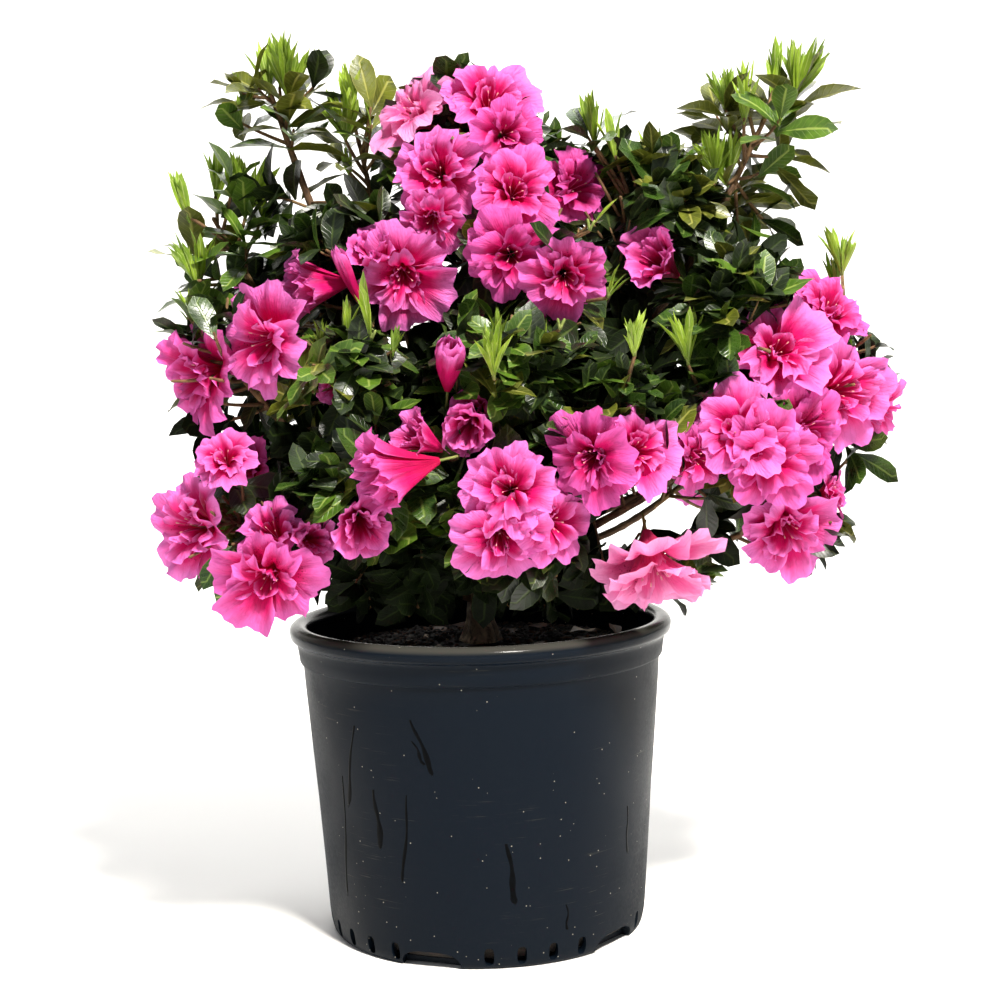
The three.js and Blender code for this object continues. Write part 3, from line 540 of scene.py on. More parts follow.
@dataclass
class Canes:
    """Many round twigs of a few steps each, joined into one piece."""

    name: str  # the piece's name
    sides: int  # sides of each twig
    steps: int  # rings along each twig, less one
    lines: list[Array] = field(default_factory=list)  # each twig's middle line, in mm
    radii: list[Array] = field(default_factory=list)  # each twig's radius along it, in mm

    def add(self, points: Sequence[Array], foot: float, tip: float) -> Array:
        """Adds one twig.

        Args:
            points: Control points of its middle line, in mm.
            foot: Its radius at the start.
            tip: Its radius at the end.

        Returns:
            Its middle line, as places from start to end.
        """
        share = np.linspace(0, 1, self.steps + 1)
        line = bezier(points, share)
        self.lines.append(line)
        self.radii.append(foot + (tip - foot) * share)
        return line

    def piece(self) -> Piece:
        """The joined mesh of all the twigs, closed at both ends."""
        lines, radii = np.stack(self.lines), np.stack(self.radii)
        count, rings, sides = len(lines), self.steps + 1, self.sides
        along = unit(np.gradient(lines, axis=1))
        across, _ = frame_of(unit(lines[:, -1] - lines[:, 0]))
        side = unit(across[:, None, :] - along * (across[:, None, :] * along).sum(2, keepdims=True))
        over = np.cross(along, side)
        turn = np.linspace(0, 2 * np.pi, sides, endpoint=False)[:, None]
        ring = side[:, :, None, :] * np.cos(turn) + over[:, :, None, :] * np.sin(turn)
        points = (lines[:, :, None, :] + ring * radii[:, :, None, None]).reshape(count, -1, 3)
        ends = np.stack([lines[:, 0], lines[:, -1] + along[:, -1] * radii[:, -1:] * 0.8], axis=1)
        points = np.concatenate([points, ends], axis=1)
        faces = []
        for r in range(self.steps):
            for i in range(sides):
                a, b = r * sides + i, r * sides + (i + 1) % sides
                faces += [(a, b, b + sides), (a, b + sides, a + sides)]
        foot, tip, last = rings * sides, rings * sides + 1, self.steps * sides
        for i in range(sides):
            j = (i + 1) % sides
            faces += [(foot, j, i), (tip, last + i, last + j)]
        around = np.tile(np.arange(sides) / sides, rings)
        length = norm(np.diff(lines, axis=1), axis=2).cumsum(1)
        length = np.concatenate([np.zeros((count, 1)), length], axis=1) * MM * 40
        up = np.repeat(length, sides, axis=1)
        uv = np.stack([np.broadcast_to(around, up.shape), up], axis=2)
        uv = np.concatenate([uv, uv[:, [0, -1]]], axis=1)
        starts = np.arange(count)[:, None, None] * (rings * sides + 2)
        every = (np.array(faces)[None] + starts).reshape(-1, 3)
        return mesh_piece(self.name, points.reshape(-1, 3) * MM, every, uv.reshape(-1, 2))


# ------------------------------------------------------------------ finishes
class Wiring:
    """Short ways to put a material's nodes in place and to join them."""

    def __init__(self, name: str) -> None:
        """Starts an empty node material.

        Args:
            name: The material's name.
        """
        self.material = bpy.data.materials.new(name)
        self.material.use_nodes = True
        self.tree = self.material.node_tree
        self.tree.nodes.clear()

    def node(self, kind: str, **settings: object) -> bpy.types.Node:
        """Adds a node.

        Args:
            kind: Its type.
            **settings: Its own properties.

        Returns:
            The node.
        """
        made = self.tree.nodes.new(kind)
        for key, value in settings.items():
            setattr(made, key, value)
        return made

    def feed(self, socket: Socket, value: object) -> None:
        """Gives a socket its value: a link to another node's socket, a hex code's colour, or a constant."""
        if isinstance(value, Socket):
            self.tree.links.new(value, socket)
        else:
            socket.default_value = paint(value) if isinstance(value, str) else value

    def fed(self, kind: str, **sockets: object) -> bpy.types.Node:
        """Adds a node and feeds its sockets, with spaces in their names as underscores."""
        made = self.node(kind)
        for key, value in sockets.items():
            self.feed(made.inputs[key.replace("_", " ")], value)
        return made

    def math(self, operation: str, *values: object) -> Socket:
        """The result of a sum on up to three values."""
        made = self.node("ShaderNodeMath", operation=operation)
        for socket, value in zip(made.inputs, values):
            self.feed(socket, value)
        return made.outputs[0]

    def times(self, one: object, other: object) -> Socket:
        """One value times another."""
        return self.math("MULTIPLY", one, other)

    def plus(self, one: object, other: object) -> Socket:
        """One value and another."""
        return self.math("ADD", one, other)

    def blend(self, share: object, one: object, other: object) -> Socket:
        """A colour between two others."""
        made = self.node("ShaderNodeMix", data_type="RGBA")
        self.feed(made.inputs[0], share)
        self.feed(made.inputs[6], one)
        self.feed(made.inputs[7], other)
        return made.outputs[2]

    def span(
        self, value: object, low: float, high: float, start: float = 0.0, end: float = 1.0
    ) -> Socket:
        """A value moved smoothly from one range to another, and kept within it."""
        made = self.node("ShaderNodeMapRange", interpolation_type="SMOOTHSTEP")
        for socket, given in zip(made.inputs, (value, low, high, start, end)):
            self.feed(socket, given)
        return made.outputs[0]

    def noise(self, where: object, scale: float, detail: float = 3.0, rough: float = 0.55) -> Socket:
        """A cloudy value from 0 to 1."""
        made = self.fed("ShaderNodeTexNoise", Vector=where, Scale=scale, Detail=detail, Roughness=rough)
        return made.outputs["Fac"]

    def object_place(self) -> Socket:
        """The place on the object."""
        return self.node("ShaderNodeTexCoord").outputs["Object"]

    def stretched(self, place: object, stretch: Triple, turn: Triple = (0.0, 0.0, 0.0)) -> Socket:
        """A place, stretched and turned."""
        return self.fed("ShaderNodeMapping", Vector=place, Scale=stretch, Rotation=turn).outputs[0]

    def surface_place(self) -> tuple[Socket, Socket, Socket]:
        """The piece's own surface place, whole and as its two parts."""
        uv = self.node("ShaderNodeUVMap", uv_map="surface").outputs[0]
        parts = self.fed("ShaderNodeSeparateXYZ", Vector=uv).outputs
        return uv, parts[0], parts[1]

    def bump(self, height: object, strength: float, distance: float, **under: object) -> Socket:
        """A normal bent by a height, over another where one is given."""
        made = self.fed("ShaderNodeBump", Strength=strength, Distance=distance, Height=height, **under)
        return made.outputs[0]

    def close(self, through: float = 0.0, glow: object = None, **sockets: object) -> Material:
        """Ends the material in one shader.

        Args:
            through: The share of light that a thin leaf or petal lets through.
            glow: The colour of that light.
            **sockets: The shader's values, with spaces in their names as underscores.

        Returns:
            The material.
        """
        surface = self.fed("ShaderNodeBsdfPrincipled", **sockets).outputs[0]
        if through:
            behind = self.fed("ShaderNodeBsdfTranslucent", Color=glow).outputs[0]
            mixed = self.node("ShaderNodeMixShader")
            for socket, value in zip(mixed.inputs, (through, surface, behind)):
                self.feed(socket, value)
            surface = mixed.outputs[0]
        self.fed("ShaderNodeOutputMaterial", Surface=surface)
        return self.material


@dataclass(frozen=True)
class LeafFinish:
    """A leaf's skin: a blade with a paler rib, side veins and margin, quilted between them."""

    name: str  # the material's name
    blade: str  # colour of the blade
    shade: str  # colour of its darker clouds
    rib: str  # colour of rib, veins and margin
    gloss: float = 0.36  # roughness
    through: float = 0.0  # share of light that it lets through
    sheen: float = 0.5

    def material(self) -> Material:
        """Makes the material."""
        w = Wiring(self.name)
        _, u, v = w.surface_place()
        off = w.math("ABSOLUTE", w.math("MULTIPLY_ADD", u, 2.0, -1.0))
        rib = w.span(off, 0.03, 0.16, 1.0, 0.0)
        slant = w.times(w.math("SUBTRACT", v, w.times(off, 0.2)), 9.0)
        wave = w.math("ABSOLUTE", w.math("SUBTRACT", w.math("FRACT", slant), 0.5))
        vein = w.span(wave, 0.02, 0.13, 1.0, 0.0)
        rim = w.span(off, 0.9, 1.0)
        cloud = w.noise(w.object_place(), 70.0)
        base = w.blend(w.span(cloud, 0.32, 0.7), self.shade, self.blade)
        drawn = w.math("MAXIMUM", w.times(rib, 0.6), w.times(vein, 0.12))
        drawn = w.math("MAXIMUM", drawn, w.times(rim, 0.4))
        colour = w.blend(drawn, base, self.rib)
        quilt = w.math("SUBTRACT", 1.0, w.math("MAXIMUM", rib, vein))
        fine = w.noise(w.object_place(), 900.0, 2.0)
        height = w.plus(quilt, w.times(fine, 0.35))
        return w.close(
            self.through,
            colour,
            Base_Color=colour,
            Roughness=w.span(fine, 0.2, 0.8, self.gloss - 0.06, self.gloss + 0.1),
            Specular_IOR_Level=self.sheen,
            Normal=w.bump(height, 0.35, 0.0006),
        )


@dataclass(frozen=True)
class PetalFinish:
    """A petal's skin: a cherry throat that turns to pink and pales at the rim, finely veined.
    The rim's lilac pallor is partly the petal's own paler margin and partly a painted sheen.
    """

    name: str  # the material's name
    throat: str  # colour deep in the bloom
    face: str  # colour of the spread petal
    # The rim colour is partly the petal's own paler margin and partly a painted sheen.
    rim: str  # colour towards its edge
    vein: str  # colour of its veins and specks

    def material(self) -> Material:
        """Makes the material."""
        w = Wiring(self.name)
        uv, u, v = w.surface_place()
        place = w.object_place()
        drift = w.math("MULTIPLY_ADD", w.noise(place, 90.0), 0.24, -0.12)
        depth = w.plus(v, drift)
        colour = w.blend(w.span(depth, 0.18, 0.62), self.throat, self.face)
        # The paler lilac rim: partly the petal's own paler margin, partly a painted sheen.
        colour = w.blend(w.span(depth, 0.6, 1.03), colour, self.rim)
        fan = w.math("MULTIPLY_ADD", w.noise(uv, 5.0, 2.0), 0.16, w.math("FRACT", u))
        line = w.math("ABSOLUTE", w.math("SUBTRACT", w.math("FRACT", w.times(fan, 11.0)), 0.5))
        vein = w.times(w.span(line, 0.0, 0.11, 1.0, 0.0), w.span(v, 0.25, 0.95, 0.32, 0.1))
        speck = w.fed("ShaderNodeTexVoronoi", Vector=place, Scale=480.0)
        dots = w.span(speck.outputs["Distance"], 0.16, 0.3, 1.0, 0.0)
        here = w.times(w.span(v, 0.3, 0.42), w.span(v, 0.66, 0.8, 1.0, 0.0))
        marked = w.math("GREATER_THAN", u, 1.0)
        dots = w.times(w.times(dots, here), w.times(marked, 0.85))
        colour = w.blend(w.math("MAXIMUM", vein, dots), colour, self.vein)
        streak = w.noise(w.stretched(uv, (16.0, 2.4, 1.0)), 2.2, 3.0)
        crease = w.plus(w.noise(place, 260.0, 3.0), w.times(vein, -0.8))
        crease = w.plus(crease, w.times(streak, 2.0))
        return w.close(
            0.34,
            colour,
            Base_Color=colour,
            Roughness=0.55,
            Specular_IOR_Level=0.2,
            Normal=w.bump(crease, 0.6, 0.0015),
        )


@dataclass(frozen=True)
class StamenFinish:
    """Pink threads with pale tips."""

    name: str  # the material's name
    thread: str  # colour of the threads
    tip: str  # colour of their tips

    def material(self) -> Material:
        """Makes the material."""
        w = Wiring(self.name)
        _, _, v = w.surface_place()
        grain = w.noise(w.object_place(), 1500.0, 2.0)
        thread = w.blend(w.span(grain, 0.3, 0.8, 0.0, 0.3), self.thread, self.tip)
        colour = w.blend(w.span(v, 0.88, 0.93), thread, self.tip)
        return w.close(Base_Color=colour, Roughness=0.5, Normal=w.bump(grain, 0.3, 0.0003))


@dataclass(frozen=True)
class BarkFinish:
    """Bark: long fissures over a cloudy ground, with paler flakes."""

    name: str  # the material's name
    ground: str  # main colour
    fissure: str  # colour in the cracks
    flake: str  # colour of pale flakes
    relief: float = 0.0008  # depth of the cracks, in metres

    def material(self) -> Material:
        """Makes the material."""
        w = Wiring(self.name)
        uv, _, _ = w.surface_place()
        crack = w.noise(w.stretched(uv, (9.0, 1.6, 1.0)), 2.2, 6.0, 0.62)
        cloud = w.noise(w.object_place(), 120.0, 4.0)
        colour = w.blend(w.span(cloud, 0.45, 0.72), self.ground, self.flake)
        colour = w.blend(w.span(crack, 0.36, 0.52, 1.0, 0.0), colour, self.fissure)
        height = w.plus(crack, w.times(cloud, 0.4))
        return w.close(Base_Color=colour, Roughness=0.82, Normal=w.bump(height, 0.8, self.relief))


@dataclass(frozen=True)
class PlasticFinish:
    """Thin black moulded plastic, weathered: dust towards its foot, scuffs, and specks of grit.
    It is also paler towards its left and right sides, and the top of its lip is lightened as a painted
    highlight.
    """

    name: str  # the material's name
    body: str  # colour of the plastic
    # The dust colour is also what the paler sides and the lip's painted highlight are lightened towards.
    dust: str  # colour of the dust on it
    grit: str  # colour of the specks

    def material(self) -> Material:
        """Makes the material."""
        w = Wiring(self.name)
        place = w.object_place()
        across, _, up = w.fed("ShaderNodeSeparateXYZ", Vector=place).outputs
        cloud = w.noise(place, 11.0, 5.0, 0.6)
        fine = w.noise(place, 420.0, 3.0)
        # The wall is made paler towards its left and right sides, by its distance across from the middle.
        side = w.span(w.math("ABSOLUTE", across), 0.062, 0.128, 0.0, 0.55)
        low = w.span(up, 0.0, 0.12, 0.34, 0.0)
        dust_and_side_pallor = w.plus(w.plus(side, low), w.span(cloud, 0.42, 0.75, 0.0, 0.3))
        dust_and_side_pallor = w.times(dust_and_side_pallor, w.span(fine, 0.25, 0.75, 0.45, 1.0))
        scuff = w.noise(w.stretched(place, (26.0, 26.0, 900.0), (0.0, 0.22, 0.0)), 1.0, 4.0, 0.7)
        rub = w.times(w.span(scuff, 0.6, 0.72), w.span(w.noise(place, 16.0, 2.0), 0.5, 0.64))
        speck = w.fed("ShaderNodeTexVoronoi", Vector=place, Scale=210.0)
        near = w.span(up, 0.02, 0.19, 0.58, 0.75)
        rare = w.math("GREATER_THAN", speck.outputs["Color"], near)
        grit = w.times(w.span(speck.outputs["Distance"], 0.05, 0.11, 1.0, 0.0), rare)
        # Painted highlight: the top of the lip is lightened towards the dust colour.
        painted_lip_highlight = w.span(up, 0.2125, 0.2165, 0.0, 0.55)
        dust_pallor_and_highlight = w.plus(w.times(dust_and_side_pallor, 0.06), painted_lip_highlight)
        colour = w.blend(dust_pallor_and_highlight, self.body, self.dust)
        colour = w.blend(w.times(rub, 0.5), colour, self.dust)
        colour = w.blend(w.times(grit, 0.75), colour, self.grit)
        rough = w.plus(w.span(cloud, 0.3, 0.7, 0.3, 0.42), w.times(dust_and_side_pallor, 0.3))
        rough = w.times(rough, w.span(up, 0.2, 0.21, 1.0, 0.4))
        height = w.plus(w.noise(place, 1300.0, 2.0), w.times(grit, 2.0))
        swell = w.bump(w.noise(place, 14.0, 2.0), 0.3, 0.002)
        return w.close(
            Base_Color=colour,
            Roughness=rough,
            Specular_IOR_Level=0.07,
            Normal=w.bump(height, 0.12, 0.0004, Normal=swell),
        )


@dataclass(frozen=True)
class EarthFinish:
    """Potting mix, its chips and fallen leaves: cloudy, rough and matt."""

    name: str  # the material's name
    dark: str  # colour of its damp parts
    light: str  # colour of its dry parts
    scale: float = 160.0  # clouds in a metre
    rough: float = 0.9  # roughness

    def material(self) -> Material:
        """Makes the material."""
        w = Wiring(self.name)
        place = w.object_place()
        cloud = w.noise(place, self.scale, 6.0, 0.65)
        grain = w.noise(place, self.scale * 7, 3.0)
        colour = w.blend(w.span(cloud, 0.36, 0.7), self.dark, self.light)
        height = w.plus(cloud, w.times(grain, 0.4))
        return w.close(Base_Color=colour, Roughness=self.rough, Normal=w.bump(height, 0.9, 0.0015))


@dataclass(frozen=True)
class WetFinish:
    """Water that has run down the plastic and left a dark glossy mark."""

    name: str = "water_mark"
    tint: str = "010203"

    def material(self) -> Material:
        """Makes the material."""
        w = Wiring(self.name)
        grain = w.noise(w.object_place(), 300.0, 3.0)
        colour = w.blend(w.span(grain, 0.35, 0.75, 0.0, 0.6), self.tint, "03060a")
        rough = w.span(grain, 0.2, 0.8, 0.3, 0.44)
        return w.close(Base_Color=colour, Roughness=rough, Specular_IOR_Level=0.04)


Finish = LeafFinish | PetalFinish | StamenFinish | BarkFinish | PlasticFinish | EarthFinish | WetFinish


class Tone(Enum):
    """The finishes that leaf sprays are dealt."""

    DEEP = 0
    GLOSSY = 1
    BRIGHT = 2
    OLIVE = 3
    YOUNG = 4
    FRESH = 5
    # Painted shade: near-black leaves laid where the inside of the crown lies in shadow.
    SHADE = 6


LEAF_FINISHES = {
    # The deep finish is the older leaves' darker green; laid deep inside the masses it also stands in for
    # their shade, as painted shade.
    Tone.DEEP: LeafFinish("leaf_deep", "1d2c0e", "10190a", "4c5c2a", 0.34),
    Tone.GLOSSY: LeafFinish("leaf_glossy", "304913", "1a2c0d", "6a7e3c", 0.3),
    Tone.BRIGHT: LeafFinish("leaf_bright", "4c6a1a", "2e4712", "94a452", 0.34, 0.08),
    Tone.OLIVE: LeafFinish("leaf_olive", "5f661a", "3c4211", "a09e4e", 0.36, 0.1),
    Tone.YOUNG: LeafFinish("leaf_young", "84a02a", "5c7a1c", "b8ca6a", 0.4, 0.26),
    # Painted shade: these near-black leaves stand in for the shadow under and inside the crown.
    Tone.SHADE: LeafFinish("leaf_painted_shade", "121d08", "0a1105", "2c3a16", 0.6, 0.0, 0.12),
    Tone.FRESH: LeafFinish("leaf_fresh", "a0bc36", "729226", "d8e294", 0.42, 0.3),
}
PETAL_FINISHES = (
    PetalFinish("petal_pink", "e00e52", "de1472", "f380d4", "8c0638"),
    PetalFinish("petal_rose", "d80e4a", "d61268", "ec70c6", "820432"),
    PetalFinish("petal_magenta", "c80a4c", "c20f62", "e060b6", "760434"),
    PetalFinish("petal_pale", "e8427a", "ea5a9e", "f8a4da", "b02a60"),
)


# ------------------------------------------------------------------ leaves and blooms
@dataclass
class LeafShape:
    """One shape of leaf, one unit long from its stalk to its point."""

    width: float = 0.5  # greatest width
    full: float = 0.58  # where it is broadest, as a share of its length
    droop: float = 0.14  # how far its tip bends down
    trough: float = 0.2  # how far its sides stand up from the rib
    wave: float = 0.02  # how far its edges wave
    across: int = 2  # faces from edge to edge
    along: int = 6  # faces from stalk to tip

    def pattern(self) -> Pattern:
        """The leaf as a pattern, growing along +Y with its face towards +Z."""
        narrow = 0.62
        broad = narrow * self.full / (1 - self.full)
        peak = self.full**broad * (1 - self.full) ** narrow

        def shape(u: Array, v: Array) -> Array:
            """Places on the blade."""
            blade = np.clip((v - 0.07) / 0.93, 0, 1)
            half = self.width / 2 * blade**broad * (1 - blade) ** narrow / peak
            half = np.maximum(half, 0.022 * (v < 0.999))
            bend = self.droop * 2.4 * v
            y = np.where(bend > 1e-6, np.sin(bend) / (self.droop * 2.4), v)
            z = -(1 - np.cos(bend)) / (self.droop * 2.4)
            z = z + np.abs(u) * half * self.trough + self.wave * u * np.sin(9 * v) * half * 4
            return np.stack([u * half, y, z], axis=1)

        bm = bmesh.new()
        add_sheet(bm, self.across, self.along, shape)
        return Pattern.taken_from(bm)


LEAF_SHAPES = (
    LeafShape(width=0.46, full=0.57),
    LeafShape(width=0.41, droop=0.24, trough=0.3),
    LeafShape(width=0.5, droop=0.06, trough=0.12, wave=0.05),
    LeafShape(width=0.38, full=0.56, droop=0.16, trough=0.42, wave=-0.04),
    LeafShape(width=0.44, full=0.6, droop=0.34, trough=0.2, wave=0.04),
)
YOUNG_SHAPES = (
    LeafShape(width=0.13, full=0.5, droop=-0.14, trough=0.7, along=5),
    LeafShape(width=0.16, full=0.54, droop=0.04, trough=0.6, along=5),
    LeafShape(width=0.11, full=0.5, droop=0.1, trough=0.8, along=5),
)


class Stage(Enum):
    """How far a bloom has opened."""

    OPEN = "open"
    CUP = "cup"
    BUD = "bud"
    FURLED = "furled"


@dataclass
class Petal:
    """One petal, cut from a trumpet round +Z and then let loose."""

    turn: float  # its bearing about +Z
    wide: float  # half of the angle that it takes up
    flare: float  # how far out its tip reaches, in mm
    rise: float  # how high its tip stands, in mm
    curl: float  # how far its tip rolls back, in mm
    ruffle: float  # height of the waves along its edge, in mm
    twist: float = 0.0  # how far it turns about +Z on its way up
    gather: float = 2.1  # how sharply it flares, from 1 for a cone
    close: float = 0.0  # how far it closes in again over the middle
    phase: float = 0.0  # start of its waves

    def shape(self, u: Array, v: Array) -> Array:
        """Places on the petal for u from -1 to 1 and v from 0 to 1."""
        edge = np.abs(u)
        nick = 0.046 * np.sin(4.4 * u + self.phase) + 0.032 * np.sin(10.5 * u + 2 * self.phase)
        nick = nick + 0.015 * np.sin(21 * u + 5 * self.phase)
        length = 1 - 0.32 * edge**3.4 + nick
        t = np.clip(v * length, 0, 1.05)
        spread = 1.7 + 0.24 * self.flare * t + (0.76 * self.flare - 1.7) * t**self.gather
        spread = spread * (1 - self.close * t**2.5)
        height = self.rise * (1 - np.clip(1 - t, 0, 1) ** (1.35 + 0.25 * self.gather))
        height = height - self.curl * np.clip(t - 0.6, 0, 1) ** 1.5 * 4.2 * (0.5 + 0.9 * edge)
        loose = np.clip(t / 0.95, 0, 1) ** 2.2
        wave = np.sin(3.4 * u + self.phase) * 0.62
        wave = wave + np.sin(7.6 * u + 1.7 * self.phase + 2 * t) * (0.22 + 0.42 * edge)
        fold = np.sin(5.2 * u + 2.3 * self.phase) * np.sin(math.pi * np.clip(t, 0, 1) ** 1.4) * 1.2
        fold = fold + np.cos(3.1 * u) * np.clip(t, 0, 1) ** 0.7 * -0.8
        lift = self.ruffle * (loose * wave) + fold * min(1.0, self.ruffle / 2)
        lift = lift + self.ruffle * 0.6 * loose**2 * np.sin(12 * u + 5 * v + 3 * self.phase)
        lift = lift + self.ruffle * 0.3 * loose**3 * np.sin(21 * u + 9 * v + self.phase)
        angle = self.turn + u * self.wide * (1 + 0.12 * (1 - t)) + self.twist * t
        out = np.stack([np.cos(angle), np.sin(angle), np.zeros_like(angle)], axis=1)
        lean = np.clip(t, 0, 1)[:, None]
        way = unit(UP * (0.35 + 0.65 * lean) - out * (0.75 - 0.35 * lean))
        return out * spread[:, None] + UP * height[:, None] + way * lift[:, None]


Range = tuple[float, float]


@dataclass(frozen=True)
class Ring:
    """One ring of petals. Each range is drawn from once to a petal, unless its ends are the same."""

    count: Range  # its petals
    first: float | None  # where the first stands, as a share of the step to the next, if in order
    stray: Range  # how far each strays from its place
    ranges: tuple[Range, ...]  # wide, flare, rise, curl, ruffle, twist, gather and close
    faces: tuple[int, int]  # across and along each


def bud_ring(ring: int, flare: float, rise: Range, gather: float) -> Ring:
    """One of the tight rings of a bud."""
    ranges = (
        (0.75, 0.95), (flare, flare), (rise[0] + ring, rise[1] + ring), (0, 0), (1.2, 2.0), (0.5, 0.9),
        (gather, gather), (0.45, 0.65),
    )
    return Ring((4, 4), 0.4 * ring, (0, 0), ranges, (8, 8))


def cup_ring(ring: int, flare: float, rise: float, count: int) -> Ring:
    """One of the steep rings of a bloom that is half open."""
    ranges = (
        (0.66, 0.9), (flare - 3, flare + 3), (rise - 4, rise + 4), (-0.5, 2.5), (2.0, 3.2), (-0.1, 0.3),
        (0.9, 1.25), (0, 0.2),
    )
    return Ring((count, count), 0.5 * ring, (-0.12, 0.12), ranges, (14, 9))


OUTER = ((0.74, 0.94), (25, 31.5), (16.5, 24.5), (-1.0, 5.0), (2.3, 3.6), (-0.14, 0.14), (1.6, 2.3), (0, 0))
MIDDLE = ((0.6, 0.88), (16, 23.5), (22, 30), (-1.5, 3.5), (2.5, 3.8), (-0.3, 0.3), (1.4, 2.1), (0, 0))
HEART = ((0.6, 1.2), (7, 15), (20, 29), (-1.5, 3.0), (2.2, 3.4), (-0.6, 0.6), (1.1, 1.8), (0, 0.4))
RINGS = {
    Stage.OPEN: (
        Ring((5, 5), 0.0, (-0.12, 0.12), OUTER, (22, 11)), Ring((5, 5), 0.5, (-0.25, 0.25), MIDDLE, (16, 8)),
        Ring((3, 6.5), None, (0, 6.28), HEART, (10, 6)),
    ),
    Stage.CUP: (cup_ring(0, 19, 34, 5), cup_ring(1, 14, 35, 5), cup_ring(2, 9, 30, 3)),
    Stage.BUD: tuple(bud_ring(ring, flare, (25, 29), 0.8) for ring, flare in enumerate((12.0, 10.0, 7.5))),
    Stage.FURLED: tuple(bud_ring(ring, flare, (40, 48), 1.0) for ring, flare in enumerate((8.5, 7.0, 5.0))),
}


@dataclass
class BloomShape:
    """A double bloom, made at a width of 58 mm and one unit to the mm."""

    stage: Stage  # how far it has opened
    seed: int  # sets its own ruffles

    def petals(self) -> list[tuple[Petal, int, int]]:
        """Its petals, each with its faces across and along."""
        rng = np.random.default_rng(300 + self.seed)

        def draw(span: Range) -> float:
            """A number within a range."""
            return span[0] if span[0] == span[1] else rng.uniform(*span)

        made: list[tuple[Petal, int, int]] = []
        lean = rng.uniform(-3.0, 3.0, 2) if self.stage is Stage.OPEN else (0.0, 0.0)
        for place, ring in enumerate(RINGS[self.stage]):
            count = int(draw(ring.count))
            for i in range(count):
                even = 0.0 if ring.first is None else math.tau * (i + ring.first) / count
                turn = even + draw(ring.stray)
                petal = Petal(turn, *[draw(span) for span in ring.ranges], draw((0, 6.28)))
                if place == 0:
                    petal.rise += 1.8 * (lean[0] * math.cos(turn) + lean[1] * math.sin(turn))
                made.append((petal, *ring.faces))
        return made

    def pattern(self) -> Pattern:
        """The bloom as a pattern, opening along +Y with its first petal towards +Z."""
        bm = bmesh.new()
        for i, (petal, across, along) in enumerate(self.petals()):
            marked = 1.0 if self.stage is Stage.OPEN and i in (0, 1, 5) else 0.0
            add_sheet(bm, across, along, petal.shape, marked, 0.0 if self.stage is Stage.OPEN else 0.34)
        bmesh.ops.rotate(bm, matrix=Matrix(((0, 1, 0), (0, 0, 1), (1, 0, 0))), verts=bm.verts[:])
        return Pattern.taken_from(bm)


# The numbers of the patterns at each stage, and the width in mm that they are made at.
STAGES = {
    Stage.OPEN: (range(0, 9), 56.0),
    Stage.CUP: (range(9, 12), 42.0),
    Stage.BUD: (range(12, 14), 25.0),
    Stage.FURLED: (range(14, 15), 23.0),
}


def bloom_patterns() -> list[Pattern]:
    """All the blooms' patterns, in the order of their kinds."""
    return [BloomShape(stage, kind).pattern() for stage, (kinds, _) in STAGES.items() for kind in kinds]


def stamen_pattern() -> Pattern:
    """Five curved threads with pale tips, along +Y, at a bloom width of 58 mm."""
    rng = np.random.default_rng(41)
    bm = bmesh.new()
    layer = place_layer(bm)
    for i in range(5):
        turn, out, top = 2 * math.pi * i / 5, rng.uniform(3, 7), rng.uniform(18, 26)
        steps = 5
        for step in range(steps + 1):
            t = step / steps
            radius = 0.2 if step < steps else 0.4
            ends = step in (0, steps)
            ring = bmesh.ops.create_circle(bm, segments=4, radius=radius, cap_ends=ends)["verts"]
            bend = out * t**1.6
            place = Vector((bend * math.cos(turn), bend * math.sin(turn), 4 + (top - 4) * t))
            bmesh.ops.translate(bm, vec=place, verts=ring)
            for vert in ring:
                vert[layer] = (0.5, t * 0.9 if step < steps else 1.0, 0.0)
            if step:
                rims = [e for e in bm.edges if {*e.verts} <= {*ring} or {*e.verts} <= {*last}]
                bmesh.ops.bridge_loops(bm, edges=rims)
            last = ring
    bmesh.ops.recalc_face_normals(bm, faces=bm.faces[:])
    bmesh.ops.rotate(bm, matrix=Matrix(((0, 1, 0), (0, 0, 1), (1, 0, 0))), verts=bm.verts[:])
    return Pattern.taken_from(bm)


def calyx_pattern() -> Pattern:
    """The small green cup that a bloom sits in, along +Y, in mm."""

    def shape(u: Array, v: Array) -> Array:
        """Places on the cup, which ends in five points."""
        angle = u * math.pi
        reach = v * (1 + 0.35 * np.cos(5 * angle))
        radius = 0.7 + 1.9 * reach
        return np.stack([radius * np.cos(angle), -1.5 + 5.0 * reach, radius * np.sin(angle)], axis=1)

    bm = bmesh.new()
    add_sheet(bm, 10, 2, shape)
    return Pattern.taken_from(bm)


